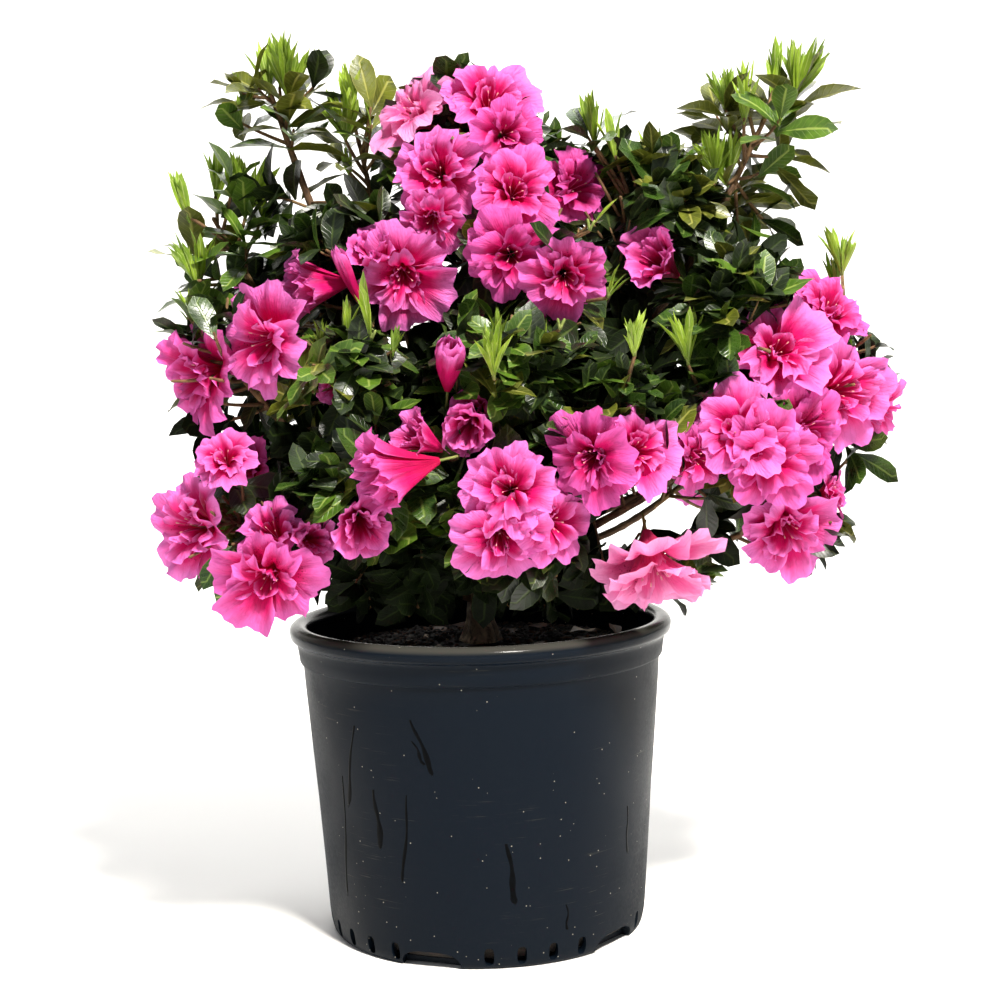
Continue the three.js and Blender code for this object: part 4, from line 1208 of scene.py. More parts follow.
# ------------------------------------------------------------------ the crown's limbs
@dataclass
class Trunk:
    """The short trunk inside the pot's mouth, in mm."""

    foot: float = 200.3  # height of its flat cut, just above the potting mix
    height: float = 100.0  # its length
    flare: float = 16.0  # radius at the foot
    waist: float = 10.0  # radius above the flare
    top: float = 8.6  # radius at the top
    lean: float = 7.0  # how far its top stands to the right
    flared: float = 0.2  # share of its height that the flare takes
    sides: int = 40  # faces round it
    steps: int = 60  # faces along it

    def line(self, share: Array) -> Array:
        """Places on its middle line."""
        points = [(0, 0, 0), (0, 0, self.height / 2), (self.lean, self.lean * 0.4, self.height)]
        return bezier([np.array(p, float) + UP * self.foot for p in points], share)

    def radius(self, share: float) -> float:
        """Its radius at a share of its height."""
        flare = max(0.0, 1 - share / self.flared) ** 2
        return self.waist + (self.top - self.waist) * share + (self.flare - self.waist) * flare

    def build(self) -> Piece:
        """The trunk, with ridges that twist up out of its root flare."""
        bm = bmesh.new()
        rings = []
        for step in range(self.steps + 1):
            share = step / self.steps
            ring = bmesh.ops.create_circle(bm, segments=self.sides, radius=1.0)["verts"]
            middle = self.line(np.array(share))
            for vert in ring:
                angle = math.atan2(vert.co.y, vert.co.x)
                ridge = math.sin(3 * angle + 2.2 * share) * 0.6 + math.sin(5 * angle - 1.5 * share) * 0.4
                rough = noise.noise(Vector((math.cos(angle) * 2, math.sin(angle) * 2, share * 7)))
                fine = noise.noise(Vector((math.cos(angle) * 7, math.sin(angle) * 7, share * 16)))
                flare = max(0.0, 1 - share / 0.5)
                radius = self.radius(share) * (0.94 + ridge * (0.03 + 0.07 * flare))
                radius += rough * 0.9 + fine * 0.5
                vert.co = Vector((*(vert.co.xy * radius), 0)) + Vector(middle)
            rings.append(ring)
        for lower, upper in zip(rings, rings[1:]):
            edges = {e for v in lower + upper for e in v.link_edges}
            own = [e for e in edges if {*e.verts} <= {*lower} or {*e.verts} <= {*upper}]
            bmesh.ops.bridge_loops(bm, edges=own)
        for ring in (rings[0], rings[-1]):
            bmesh.ops.contextual_create(bm, geom=ring)
        top = max(bm.faces, key=lambda face: face.calc_center_median().z)
        bmesh.ops.inset_individual(bm, faces=[top], thickness=2.6, depth=1.8)
        bmesh.ops.recalc_face_normals(bm, faces=bm.faces[:])
        surface = bm.loops.layers.uv.new("surface")
        for face in bm.faces:
            for loop in face.loops:
                co = loop.vert.co
                loop[surface].uv = (math.atan2(co.y, co.x) / math.tau + 0.5, co.z * MM * 40)
        return piece_of("trunk_bark", bm)


@dataclass
class Limbs:
    """The stems inside the masses and the boughs that carry them, in mm, as in the solids."""

    trunk: Trunk
    crown_foot: Array = field(default_factory=lambda: np.array([0.0, 0.0, 262.0]))
    root_radius: float = 3.1
    tip_radius: float = 2.6
    lowest: float = 0.22
    highest: float = 0.86
    outward: float = 26.0
    lift: float = 14.0
    gap: float = 0.8
    swings: tuple[int, ...] = (0, 10, -10, 20, -20, 32, -32, 44, -44, 58, -58, 74, -74, 90, -90)
    shifts: tuple[float, ...] = (0, 0.03, -0.03, 0.06, -0.06, 0.1, -0.1, 0.14, -0.14, 0.2, -0.2)
    stem_radius: float = 3.0
    stem_margin: float = 4.0
    past_centre: float = 0.2
    clearance: float = 0.3

    def __post_init__(self) -> None:
        """Shares out the crown's space and works out each mass's stem."""
        self.centres = np.array([mass.at for mass in CROWN], float)
        self.reaches = np.array([mass.reach for mass in CROWN], float)
        self.weights = self.reaches.mean(1) ** 2
        self.ways, self.entries, self.ends = (np.zeros((len(CROWN), 3)) for _ in range(3))
        for number in range(len(CROWN)):
            self._stem(number)
        self.curves = self.boughs()

    def room_at(self, points: Array, number: int) -> tuple[Array, Array]:
        """How far points lie inside the walls of a mass's own space, and the way in from the nearest wall.

        Args:
            points: A row of places.
            number: The mass's number.

        Returns:
            The room at each place, and unit vectors away from the nearest wall.
        """
        power = ((points[:, None] - self.centres) ** 2).sum(2) - self.weights
        span = 2 * norm(self.centres - self.centres[number], axis=1)
        span[number] = 1.0
        distance = (power - power[:, [number]]) / span
        distance[:, number] = np.inf
        nearest = distance.argmin(1)
        inward = unit(self.centres[number] - self.centres[nearest])
        return distance.min(1), inward

    def _stem(self, number: int) -> None:
        """Finds where a mass's stem enters its space and where it ends."""
        centre, reach = self.centres[number], self.reaches[number]
        way = unit(unit(centre - self.crown_foot) + UP * 0.3)
        depth = 1 / norm(way / reach)
        entry = centre - way * 0.2 * depth
        share = 0.25
        while share < 0.7:
            further = centre - way * share * depth
            if self.room_at(further[None], number)[0][0] < self.stem_margin:
                break
            entry = further
            share += 0.05
        self.ways[number], self.entries[number] = way, entry
        self.ends[number] = centre + way * self.past_centre * depth

    def _curve(self, number: int, share: float, swing: float) -> list[Array]:
        """A bough's control points, leaving the trunk at a share of its height and swung aside."""
        root, entry = self.trunk.line(np.array(share)), self.entries[number]
        level = (entry - root) * (1, 1, 0)
        outward = min(self.outward, float(norm(level)) * 0.6)
        c, s = math.cos(math.radians(swing)), math.sin(math.radians(swing))
        level = unit(level)
        level = np.array([level[0] * c - level[1] * s, level[0] * s + level[1] * c, 0.0])
        first = root + level * outward + UP * self.lift
        last = entry - self.ways[number] * norm(entry - root) * 0.32
        return [root, first, last, entry]

    def boughs(self) -> list[list[Array]]:
        """Control points of every bough. The flattest leaves the trunk lowest, and each clears the others."""
        level = np.hypot(self.entries[:, 0], self.entries[:, 1])
        steepness = (self.entries[:, 2] - self.crown_foot[2]) / level
        order = sorted(range(len(CROWN)), key=lambda i: steepness[i])
        curves: dict[int, list[Array]] = {}
        barks: list[tuple[Array, Array]] = []
        stem_share = np.linspace(0, 1, 13)[:, None]
        feet = self.entries + self.ways * self.clearance
        stems = feet[:, None] + (self.ends - feet)[:, None] * stem_share
        top = self.trunk.foot + self.trunk.height
        sunk = self.trunk.top - self.root_radius
        share_along = np.linspace(0, 1, 51)
        thick = self.root_radius + (self.tip_radius - self.root_radius) * share_along
        for rank, number in enumerate(order):
            others = np.delete(stems, number, axis=0).reshape(-1, 3)
            places = np.concatenate([others] + [p for p, _ in barks])
            radii = np.concatenate([np.full(len(others), self.stem_radius)] + [r for _, r in barks])
            best, kept = -math.inf, None
            for swing in self.swings:
                for shift in self.shifts:
                    even = self.lowest + (self.highest - self.lowest) * rank / (len(order) - 2)
                    side = min(max(even + shift, self.lowest), self.highest)
                    share = side if rank < len(order) - 1 else 1.0
                    curve = self._curve(number, share, swing)
                    line, axis = bezier(curve, share_along), self.trunk.line(np.array(share))
                    shown = (line[:, 2] > top) | (np.hypot(*(line - axis)[:, :2].T) > sunk)
                    own, thin = line[shown], thick[shown]
                    apart = norm(own[:, None] - places, axis=2) - thin[:, None] - radii
                    gap = min(float(apart.min()), self.gap)
                    if gap > best:
                        best, kept = gap, (curve, own, thin)
                if best >= self.gap:
                    break
            curves[number] = kept[0]
            barks.append((kept[1], kept[2]))
        return [curves[i] for i in range(len(CROWN))]

    def build(self) -> Piece:
        """All the boughs, round and knotty, each with its own bends kept."""
        canes = Canes("bough_bark", sides=12, steps=36)
        rng = np.random.default_rng(12)
        for curve in self.curves:
            line = canes.add(curve, self.root_radius + 0.3, self.tip_radius)
            share = np.linspace(0, 1, len(line))
            sway = np.sin(share[:, None] * rng.uniform(9, 16, 3) + rng.uniform(0, 6, 3))
            line += sway * (np.sin(math.pi * share) * 0.7)[:, None]
            knots = np.sin(share * rng.uniform(30, 44) + rng.uniform(0, 6)) ** 6
            canes.radii[-1] = canes.radii[-1] * (0.92 + 0.16 * knots)
        return canes.piece()


# ------------------------------------------------------------------ the crown's foliage
@dataclass
class Bloom:
    """One bloom in place, in mm."""

    seat: Array  # where its petals start
    way: Array  # the way that it opens
    width: float  # its width
    turn: float  # how far it is turned about its way
    mass: int  # the number of its mass
    kept: Stage | None = None  # its stage, once that no longer follows from its width
    shade: int | None = None  # which of the petals' finishes it takes, where it isn't drawn

    @property
    def stage(self) -> Stage:
        """How far it has opened, from its width, or as it was before it was widened."""
        if self.kept:
            return self.kept
        if self.width >= 44:
            return Stage.OPEN
        return Stage.CUP if self.width >= 30 else Stage.BUD

    @property
    def depth(self) -> float:
        """Its length from seat to mouth."""
        return self.width * 0.5 if self.stage is Stage.OPEN else 32.0

    def outline(self) -> Array:
        """The ring, throat and seat that bound it in the solids."""
        open_, bud = self.stage is Stage.OPEN, self.stage is Stage.BUD
        count = 6 if bud else 10
        radius = self.width * (0.5 if open_ else 0.42)
        height = self.depth * 0.55 if bud else self.depth
        across, above = frame_of(self.way)
        j = np.arange(count)
        wave = np.zeros(count) if bud else np.cos(math.pi * j)
        angle = 2 * math.pi * j / count
        spread = radius * (0.92 + 0.08 * wave * np.cos(self.turn + 2 * angle))
        lift = height + self.depth * 0.16 * wave * (-1 if open_ else 0.4)
        ring = self.seat + across * (spread * np.cos(angle))[:, None]
        ring = ring + above * (spread * np.sin(angle))[:, None] + self.way * lift[:, None]
        throat = self.seat + self.way * (self.depth if bud else self.depth * 0.42)
        return np.concatenate([ring, throat[None], self.seat[None]])


@dataclass
class Crown:
    """Grows the twigs, leaves, fresh shoots and blooms of every mass on the limbs."""

    limbs: Limbs  # the stems and the shared space
    branchlets: int = 4  # finer twigs on each leafy twig of a dense mass
    inner: int = 18  # leafy twigs along each bough, inside the shrub
    leaf: float = 43.0  # mean length of a grown leaf, in mm
    deep_reach: float = 118.0  # radius of the shaded middle over the pot, in mm
    deep_top: float = 330.0  # and its height
    lit_from: float = 460.0  # height above which no whorl is taken for shaded, in mm
    ahead: float = 46.0  # room that a bloom keeps free in front of it, in mm
    in_sight: float = 170.0  # and towards the viewer
    pot_top: float = 225.0  # height under which foliage keeps off the pot, in mm
    pot_reach: float = 186.0  # radius out to which it does, in mm

    def __post_init__(self) -> None:
        """Starts the drifts that everything is laid in."""
        self.leaves = Drift("leaves", [shape.pattern() for shape in LEAF_SHAPES])
        self.young = Drift("young_leaves", [shape.pattern() for shape in YOUNG_SHAPES])
        self.petals = Drift("blooms", bloom_patterns())
        self.stamens = Drift("stamens", [stamen_pattern()])
        self.calyxes = Drift("calyxes", [calyx_pattern()])
        self.twigs = Canes("twigs", sides=5, steps=5)
        self.sprigs = Canes("fine_twigs", sides=4, steps=3)
        self.stalks = Canes("green_stalks", sides=4, steps=3)
        self.blooms: list[Bloom] = []
        self.rng = np.random.default_rng(0)

    def _settled(self, number: int, spec: Sequence[float], turn: float) -> Bloom:
        """A bloom of a mass, moved in from the walls of the mass's space as in the solids."""
        bearing, rise, distance, width = spec
        out = heading(bearing, rise)
        middle = self.limbs.centres[number] + out * distance
        way = unit(out * 0.65 + unit(middle - self.limbs.crown_foot) * 0.4)
        bloom = Bloom(middle, way, width, turn, number)
        bloom.seat = middle - way * bloom.depth * 0.8
        for _ in range(20):
            room, inward = self.limbs.room_at(bloom.outline(), number)
            tight = int(room.argmin())
            if room[tight] > 0.25:
                break
            bloom.seat = bloom.seat + inward[tight] * (0.35 - room[tight])
        return bloom

    def _hang(self, bloom: Bloom, number: int, place: int) -> None:
        """Lets a settled bloom hang as it does on the shrub.

        Args:
            bloom: The bloom.
            number: The mass's number.
            place: The bloom's number in the mass.
        """
        hangs = HANGS.get(CROWN[number].name)
        hang = Hang(*hangs[place]) if hangs else Hang()
        middle = bloom.seat + bloom.way * bloom.depth * 0.8 + np.array([hang.right, 0.0, hang.up])
        bloom.kept = Stage(hang.stage) if hang.stage else bloom.stage
        if hang.way:
            bloom.way = unit(np.array(hang.way))
        bloom.width *= hang.scale
        bloom.shade = hang.shade
        bloom.seat = middle - bloom.way * bloom.depth * 0.8

    def _clear(self, points: Array) -> Array:
        """Whether places keep out of the pot and out of the way in front of every bloom."""
        level = np.hypot(points[:, 0], points[:, 1])
        free = (points[:, 2] > self.pot_top) | (level > self.pot_reach)
        for bloom in self.blooms:
            ahead, aside = beside(points, bloom.seat, bloom.way)
            share = np.clip(ahead / bloom.depth, 0, 1)
            wide = bloom.width * 0.47 * (0.3 + 0.7 * share)
            free &= ~((ahead > 0.25 * bloom.depth) & (ahead < bloom.depth + self.ahead) & (aside < wide))
            mouth = bloom.seat + bloom.way * bloom.depth * 0.8
            sight = unit(VIEWER - mouth)
            if bloom.way @ sight > 0.1:
                ahead, aside = beside(points, mouth, sight)
                free &= ~((ahead > -4) & (ahead < self.in_sight) & (aside < bloom.width * 0.37))
        for at, wide in GAPS:
            free &= beside(points, VIEWER, unit(np.array(at) - VIEWER))[1] > wide
        return free

    def _fits(self, points: Array, number: int, slack: float, past: float) -> Array:
        """Whether places keep to a mass's own space and reach.

        Args:
            points: A row of places.
            number: The mass's number.
            slack: Share of the reach that they may take.
            past: How far they may pass the walls, in mm.

        Returns:
            True for each place that does.
        """
        share = norm((points - self.limbs.centres[number]) / self.limbs.reaches[number], axis=1)
        return (share < slack) & (self.limbs.room_at(points, number)[0] > -past)

    def _rosette(
        self, number: int, hub: Array, way: Array, count: int, length: float, low: float, high: float,
        tone: Tone, step: float = 1.3, free: bool = False,
    ) -> None:
        """Lays a whorl of leaves round the end of a twig.

        Args:
            number: The number of the mass that it belongs to.
            hub: The twig's end.
            way: The way that the twig grows.
            count: Leaves in the whorl.
            length: Their length, in mm.
            low: Angle of the innermost leaf off the twig, in degrees.
            high: Angle of the outermost.
            tone: The finish that they share.
            step: Distance along the twig between two leaves, in mm.
            free: Whether they may pass the mass's own edge.
        """
        rng, mass = self.rng, CROWN[number]
        drift = self.young if tone in (Tone.YOUNG, Tone.FRESH) else self.leaves
        i = np.arange(count)
        turn = i * GOLDEN + rng.uniform(0, 2 * math.pi) + rng.normal(0, 0.12, count)
        spread = np.radians(low + (high - low) * (i / max(count - 1, 1)) ** 0.75 + rng.normal(0, 5, count))
        ways = np.tile(way, (count, 1))
        out = fanned(ways, spread, turn)
        mature = drift is self.leaves
        out = unit(out - UP * rng.uniform(0.0, 0.16 if mature else 0.02, (count, 1)))
        feet = hub - ways * (i * step)[:, None]
        face = ways + UP * 0.45 + rng.normal(0, 0.4 if mass.open else 0.2, (count, 3))
        size = length * rng.uniform(0.78, 1.12, count) * np.where(i < 2, 0.82, 1.0)
        centre, reach = self.limbs.centres[number], self.limbs.reaches[number]
        keep = np.full(count, True)
        if mature and not free and not mass.open:
            far = norm((feet + out * size[:, None] - centre) / reach, axis=1)
            size = np.where(far > mass.leafy, size * 0.84, size)
            far = norm((feet + out * size[:, None] - centre) / reach, axis=1)
            keep = far < mass.leafy * 1.08
        keep &= self._clear(feet + out * (size * 0.55)[:, None]) & self._clear(feet + out * size[:, None])
        if not keep.any():
            return
        kinds = rng.integers(0, len(drift.patterns), keep.sum())
        drift.lay(feet[keep], out[keep], face[keep], size[keep], tone.value, kinds)

    def _tone(self, number: int, height: float) -> Tone:
        """The finish of one spray, drawn by shares: mostly deep and glossy in the dense masses, and more
        bright and bronze-green in the open ones and high up.
        """
        mass = CROWN[number]
        shares = (0.1, 0.18, 0.22, 0.5) if mass.open else (0.4, 0.36, 0.19, 0.05)
        if height > 520 and not mass.open:
            shares = (0.2, 0.3, 0.25, 0.25)
        return list(Tone)[int(self.rng.choice(4, p=shares))]

    def _flush(
        self, number: int, hub: Array, way: Array, length: float, tufts: int, whorl: bool
    ) -> None:
        """Fresh growth at a twig's end: upright tufts of narrow leaves over a whorl of grown ones.

        Args:
            number: The mass's number.
            hub: The twig's end.
            way: The way that the twig grows.
            length: Length of the fresh leaves, in mm.
            tufts: Number of tufts.
            whorl: Whether grown leaves spread under them.
        """
        up = unit(way * 0.3 + UP)
        phase = self.rng.uniform(0, 2 * math.pi)
        for i in range(tufts):
            off = np.array(0.05 if tufts == 1 else 0.34)
            lean = fanned(up, off, np.array(2 * math.pi * i / tufts + phase))
            foot = hub + lean * (5 if tufts > 1 else 1)
            if tufts > 1:
                self.stalks.add([hub, hub + lean * 3, foot + lean * 2], 1.2, 0.9)
            tone = Tone.FRESH if self.rng.random() < 0.7 else Tone.YOUNG
            size = length * self.rng.uniform(0.85, 1.1)
            self._rosette(number, foot, lean, int(self.rng.integers(9, 14)), size, 0, 14, tone, 0.6)
        if whorl:
            tone = Tone.OLIVE if hub[2] > 500 or self.rng.random() < 0.3 else Tone.BRIGHT
            size, count = self.leaf * self.rng.uniform(0.92, 1.08), int(self.rng.integers(5, 7)) + tufts
            self._rosette(number, hub, up, count, size, 38, 76, tone, 3.0)

    def _branch(self, number: int, start: Array, hub: Array) -> None:
        """One leafy twig and the finer twigs that it carries.

        Args:
            number: The mass's number.
            start: Where it leaves the stem.
            hub: Where it ends in the solids.
        """
        mass = CROWN[number]
        way = unit(hub - start)
        bow = (start + hub) / 2 - UP * norm(hub - start) * 0.07 + self.rng.normal(0, 1.5, 3)
        self.twigs.add([start, bow, hub], 1.5, 1.0)
        way = unit(unit(hub - bow) + UP * 0.12)
        if mass.open:
            up = unit(way * 0.7 + UP)
            count = int(self.rng.integers(4, 7))
            tone = Tone.OLIVE if self.rng.random() < 0.5 else Tone.BRIGHT
            self._rosette(number, hub, up, count, self.leaf * self.rng.uniform(0.8, 1.05), 26, 68, tone, 3.0)
            if self.rng.random() < 0.6:
                self._flush(number, hub, up, self.rng.uniform(16, 24), 1, False)
            return
        self._rosette(number, hub, way, 6, self.leaf, 20, 72, self._tone(number, hub[2]), 2.0)
        phase = self.rng.uniform(0, 2 * math.pi)
        for j in range(self.branchlets):
            root = bezier([start, bow, hub], np.array(0.98 - 0.42 * j / self.branchlets))
            off = math.radians(self.rng.uniform(24, 50) + 16 * j / self.branchlets)
            aim = fanned(way, np.array(off), np.array(phase + j * GOLDEN))
            self._sprig(number, root, aim, self.rng.uniform(17, 32))

    def _sprig(self, number: int, root: Array, aim: Array, length: float) -> None:
        """One fine twig with its leaves, shortened or left out where it has no room.

        Args:
            number: The mass's number.
            root: Where it leaves its twig.
            aim: The way that it grows.
            length: Its length, in mm.
        """
        for share in (1.0, 0.55):
            tip = root + aim * length * share + UP * length * 0.12 * share
            outer = tip + aim * self.leaf * 0.6
            if self._fits(outer[None], number, CROWN[number].leafy, 7.0)[0] and self._clear(tip[None])[0]:
                break
        else:
            return
        elbow = root + aim * length * share * 0.5 - UP * length * 0.04
        self.sprigs.add([root, elbow, tip], 0.95, 0.7)
        way = unit(unit(tip - elbow) + UP * 0.2)
        depth = norm((tip - self.limbs.centres[number]) / self.limbs.reaches[number])
        # Sprays deep in a mass take the darkest grown finish: partly the older leaves' own green, partly
        # painted shade for the mass's dim inside.
        tone = Tone.DEEP if depth < 0.45 else self._tone(number, tip[2])
        size = self.leaf * self.rng.uniform(0.85, 1.14)
        count = int(self.rng.integers(4, 8))
        self._rosette(number, tip, way, count, size, 18, 82, tone, length * share / 16)
        if depth > 0.6 and way[2] > -0.1 and self.rng.random() < 0.16:
            self._flush(number, tip, way, self.rng.uniform(13, 22), 1, False)

    def _inner(self, number: int, curve: Sequence[Array]) -> None:
        """Dark leafy twigs along a bough, which close the shrub's inside and hang over the pot.
        Their dark leaves are painted shade; the deep ones are partly the older leaves' own darker green.

        Args:
            number: The mass's number.
            curve: The bough's control points.
        """
        for i in range(0 if CROWN[number].name == "drop" else self.inner):
            share = 0.34 + 0.6 * (i + self.rng.uniform(0, 1)) / self.inner
            root = bezier(curve, np.array(share))
            ahead = unit(bezier(curve, np.array(share + 0.02)) - root)
            off = np.array(self.rng.uniform(0.7, 1.7))
            aim = fanned(ahead, off, np.array(i * GOLDEN + self.rng.uniform(0, 0.8)))
            if i % 3 == 1:
                aim = unit(aim - UP * 0.9)
            length = self.rng.uniform(22, 72)
            bow = root + aim * length * 0.5 + UP * length * 0.08
            tip = root + aim * length
            if not (self._clear(tip[None])[0] and self._clear(bow[None])[0]):
                continue
            way = unit(tip - bow)
            if self._spray(tip, way):
                self.twigs.add([root, bow, tip], 1.3, 0.9)
                self._spray(bezier([root, bow, tip], np.array(0.65)), way)

    def _spray(self, hub: Array, way: Array) -> bool:
        """A whorl of dark leaves inside the shrub, kept within whichever mass is nearest.
        Under the crown and between crowded masses its leaves take the painted-shade finish; elsewhere
        the deep finish, whose dark green is partly the older leaves' own and partly painted shade.

        Args:
            hub: The whorl's middle.
            way: The way that its twig grows.

        Returns:
            Whether there was room for it.
        """
        share = norm((hub - self.limbs.centres) / self.limbs.reaches, axis=1)
        number = int(share.argmin())
        under = math.hypot(hub[0], hub[1]) < self.deep_reach and hub[2] < self.deep_top
        crowded = int((share < 1.3).sum()) > 2 and share[number] < 1.0
        between = crowded and 230 < hub[2] < self.lit_from and hub[1] > -90
        if share[number] > CROWN[number].leafy - 0.08 and not (under or between):
            return False
        size = self.leaf * self.rng.uniform(0.72, 0.95)
        # Painted shade: the near-black finish under the crown and between crowded masses, the deep finish
        # elsewhere.
        tone = Tone.SHADE if under or between else Tone.DEEP
        self._rosette(number, hub, way, 7, size, 25, 85, tone, 1.8, under or between)
        return True

    def _bloom(self, bloom: Bloom, start: Array) -> None:
        """Lays one bloom with its cup, threads and stalk.

        Args:
            bloom: The bloom.
            start: Where its twig leaves the stem.
        """
        stage = bloom.stage
        kinds, made_wide = STAGES[stage]
        kind = int(self.rng.choice(list(kinds)))
        tone = int(self.rng.choice(3, p=(0.48, 0.31, 0.21)))
        tone = tone if bloom.shade is None else bloom.shade
        across, above = frame_of(bloom.way)
        face = across * math.cos(bloom.turn) + above * math.sin(bloom.turn)
        size = bloom.width / made_wide
        one = (bloom.seat[None], bloom.way[None], face[None])
        self.petals.lay(*one, np.array([size]), tone, np.array([kind]))
        if stage is Stage.OPEN:
            self.stamens.lay(*one, np.array([size]), 0, np.array([0]))
        self.calyxes.lay(*one, np.array([1.0]), 0, np.array([0]))
        neck = bloom.seat - bloom.way * 13
        middle = (start + neck) / 2 + self.rng.normal(0, 1.5, 3)
        self.twigs.add([start, middle, neck], 1.4, 1.0)
        self.stalks.add([neck, neck + bloom.way * 6, bloom.seat], 0.9, 0.8)
        tone = self._tone(bloom.mass, neck[2])
        self._rosette(bloom.mass, neck, bloom.way, 7, self.leaf, 48, 88, tone, 1.5)

    def grow(self) -> None:
        """Grows every mass."""
        streams = [seeded(1000 + 77 * number) for number in range(len(CROWN))]
        for number, mass in enumerate(CROWN):
            for place, spec in enumerate(mass.blooms):
                bloom = self._settled(number, spec, streams[number]() * math.pi)
                self._hang(bloom, number, place)
                self.blooms.append(bloom)
        names = [mass.name for mass in CROWN]
        for name, at, width in FURTHER:
            middle, number = np.array(at, float), names.index(name)
            out = unit(middle - self.limbs.centres[number])
            way = unit(out + unit(VIEWER - middle) * 0.9)
            bloom = Bloom(middle, way, width, 2.4 * width, number)
            bloom.seat = middle - way * bloom.depth * 0.8
            self.blooms.append(bloom)
        for number, draw in enumerate(streams):
            self._grow_mass(number, draw)
        self.rng = np.random.default_rng(404)
        for number, curve in enumerate(self.limbs.curves):
            self._inner(number, curve)
        for name, at, tone, count, lift in SPRAYS:
            self._single(names.index(name), np.array(at, float), Tone[tone], count, lift)

    def _single(
        self, number: int, hub: Array, tone: Tone, count: int, lift: float
    ) -> None:
        """One whorl on a twig of its own.

        Args:
            number: The mass's number.
            hub: The whorl's middle.
            tone: Its finish.
            count: Its leaves.
            lift: How far its twig turns up, or down below 0.
        """
        foot, end = self.limbs.entries[number], self.limbs.ends[number]
        share = float(np.clip((hub - foot) @ (end - foot) / ((end - foot) @ (end - foot)) - 0.25, 0.05, 0.8))
        start = foot + (end - foot) * share
        self.twigs.add([start, (start + hub) / 2 - UP * 3, hub], 1.5, 1.0)
        way = unit(unit(hub - start) + UP * lift)
        self._rosette(number, hub, way, count, self.leaf, 28, 74, tone, 2.8, True)

    def _grow_mass(self, number: int, draw: Callable[[], float]) -> None:
        """Grows one mass, its twigs leaving the stem in the order in which they advance along it.

        Args:
            number: The mass's number.
            draw: The mass's own stream, after its blooms have drawn from it.
        """
        mass, limbs = CROWN[number], self.limbs
        self.rng = np.random.default_rng(5000 + number)
        centre, reach, way = limbs.centres[number], limbs.reaches[number], limbs.ways[number]
        foot, end = limbs.entries[number], limbs.ends[number]
        self.twigs.add([foot - way * 2, (foot + end) / 2, end], 2.5, 1.5)
        jobs: list[Job] = []
        for bloom in (b for b in self.blooms if b.mass == number):
            jobs.append((bloom.seat, lambda start, b=bloom: self._bloom(b, start)))
        self._plan(jobs, number, [(b, r, d - 30.0, 30.0, 1) for b, r, d in mass.shoots])
        for i in range(mass.twigs):
            forward = math.acos(0.95 - 1.45 * (i + 0.5) / mass.twigs)
            out = fanned(way, np.array(forward), np.array(GOLDEN * i + number)) * reach
            hub = centre + out * (0.42 + 0.16 * draw())
            if mass.open and i % (8 if mass.at[2] > 560 else 4) != 3:
                continue
            jobs.append((hub, lambda start, h=hub: self._branch(number, start, h)))
        self._plan(jobs, number, mass.flushes)
        jobs.sort(key=lambda job: float((job[0] - centre) @ way))
        for i, (_, job) in enumerate(jobs):
            job(foot + (end - foot) * (0.08 + 0.88 * (i + 0.5) / len(jobs)))

    def _plan(self, jobs: list[Job], number: int, fresh: Sequence[tuple[float, ...]]) -> None:
        """Adds a mass's fresh growth to its twigs: bearing, rise, distance, length and number of tufts."""
        for bearing, rise, distance, length, tufts in fresh:
            hub = self.limbs.centres[number] + heading(bearing, rise) * distance
            jobs.append((hub, lambda start, h=hub, s=length, t=tufts: self._shoot(number, start, h, s, t)))

    def _shoot(
        self, number: int, start: Array, hub: Array, length: float, tufts: int
    ) -> None:
        """A twig that ends in fresh growth.

        Args:
            number: The mass's number.
            start: Where it leaves the stem.
            hub: Where its tufts start.
            length: Length of its fresh leaves, in mm.
            tufts: Number of its tufts.
        """
        middle = (start + hub) / 2 - UP * 2 + self.rng.normal(0, 1.0, 3)
        self.twigs.add([start, middle, hub], 1.6, 1.2)
        way = unit(hub - start)
        if CROWN[number].open:
            self._flush(number, hub, way, length * 1.15, tufts, tufts > 1)
            return
        self._flush(number, hub, way, length, tufts, True)
        low = bezier([start, middle, hub], np.array(0.6))
        tone = self._tone(number, low[2])
        self._rosette(number, low, unit(way + UP * 0.5), 5, self.leaf * 0.9, 36, 76, tone, 2.6)

    def dress(self) -> None:
        """Joins what was grown into pieces, and gives them their finishes."""
        leafy = {tone.value: finish for tone, finish in LEAF_FINISHES.items()}
        stamen = StamenFinish("stamen", "cc2c74", "d08c90")
        calyx = LeafFinish("calyx_green", "6d8a35", "4d6a26", "a5b56a", 0.5)
        for drift, finishes in (
            (self.leaves, leafy), (self.young, leafy), (self.petals, dict(enumerate(PETAL_FINISHES))),
            (self.stamens, {0: stamen}), (self.calyxes, {0: calyx}),
        ):
            for tone, finish in finishes.items():
                for piece in drift.pieces(tone):
                    settle(piece, finish, MASS_NODES)
        stalk = BarkFinish("stalk_green", "72803a", "55622a", "98a05a", 0.0002)
        young_bark = BarkFinish("young_bark", "6b4e30", "3d2a1a", "94764c", 0.0004)
        for canes, finish in ((self.stalks, stalk), (self.twigs, young_bark), (self.sprigs, young_bark)):
            settle(canes.piece(), finish, MASS_NODES)


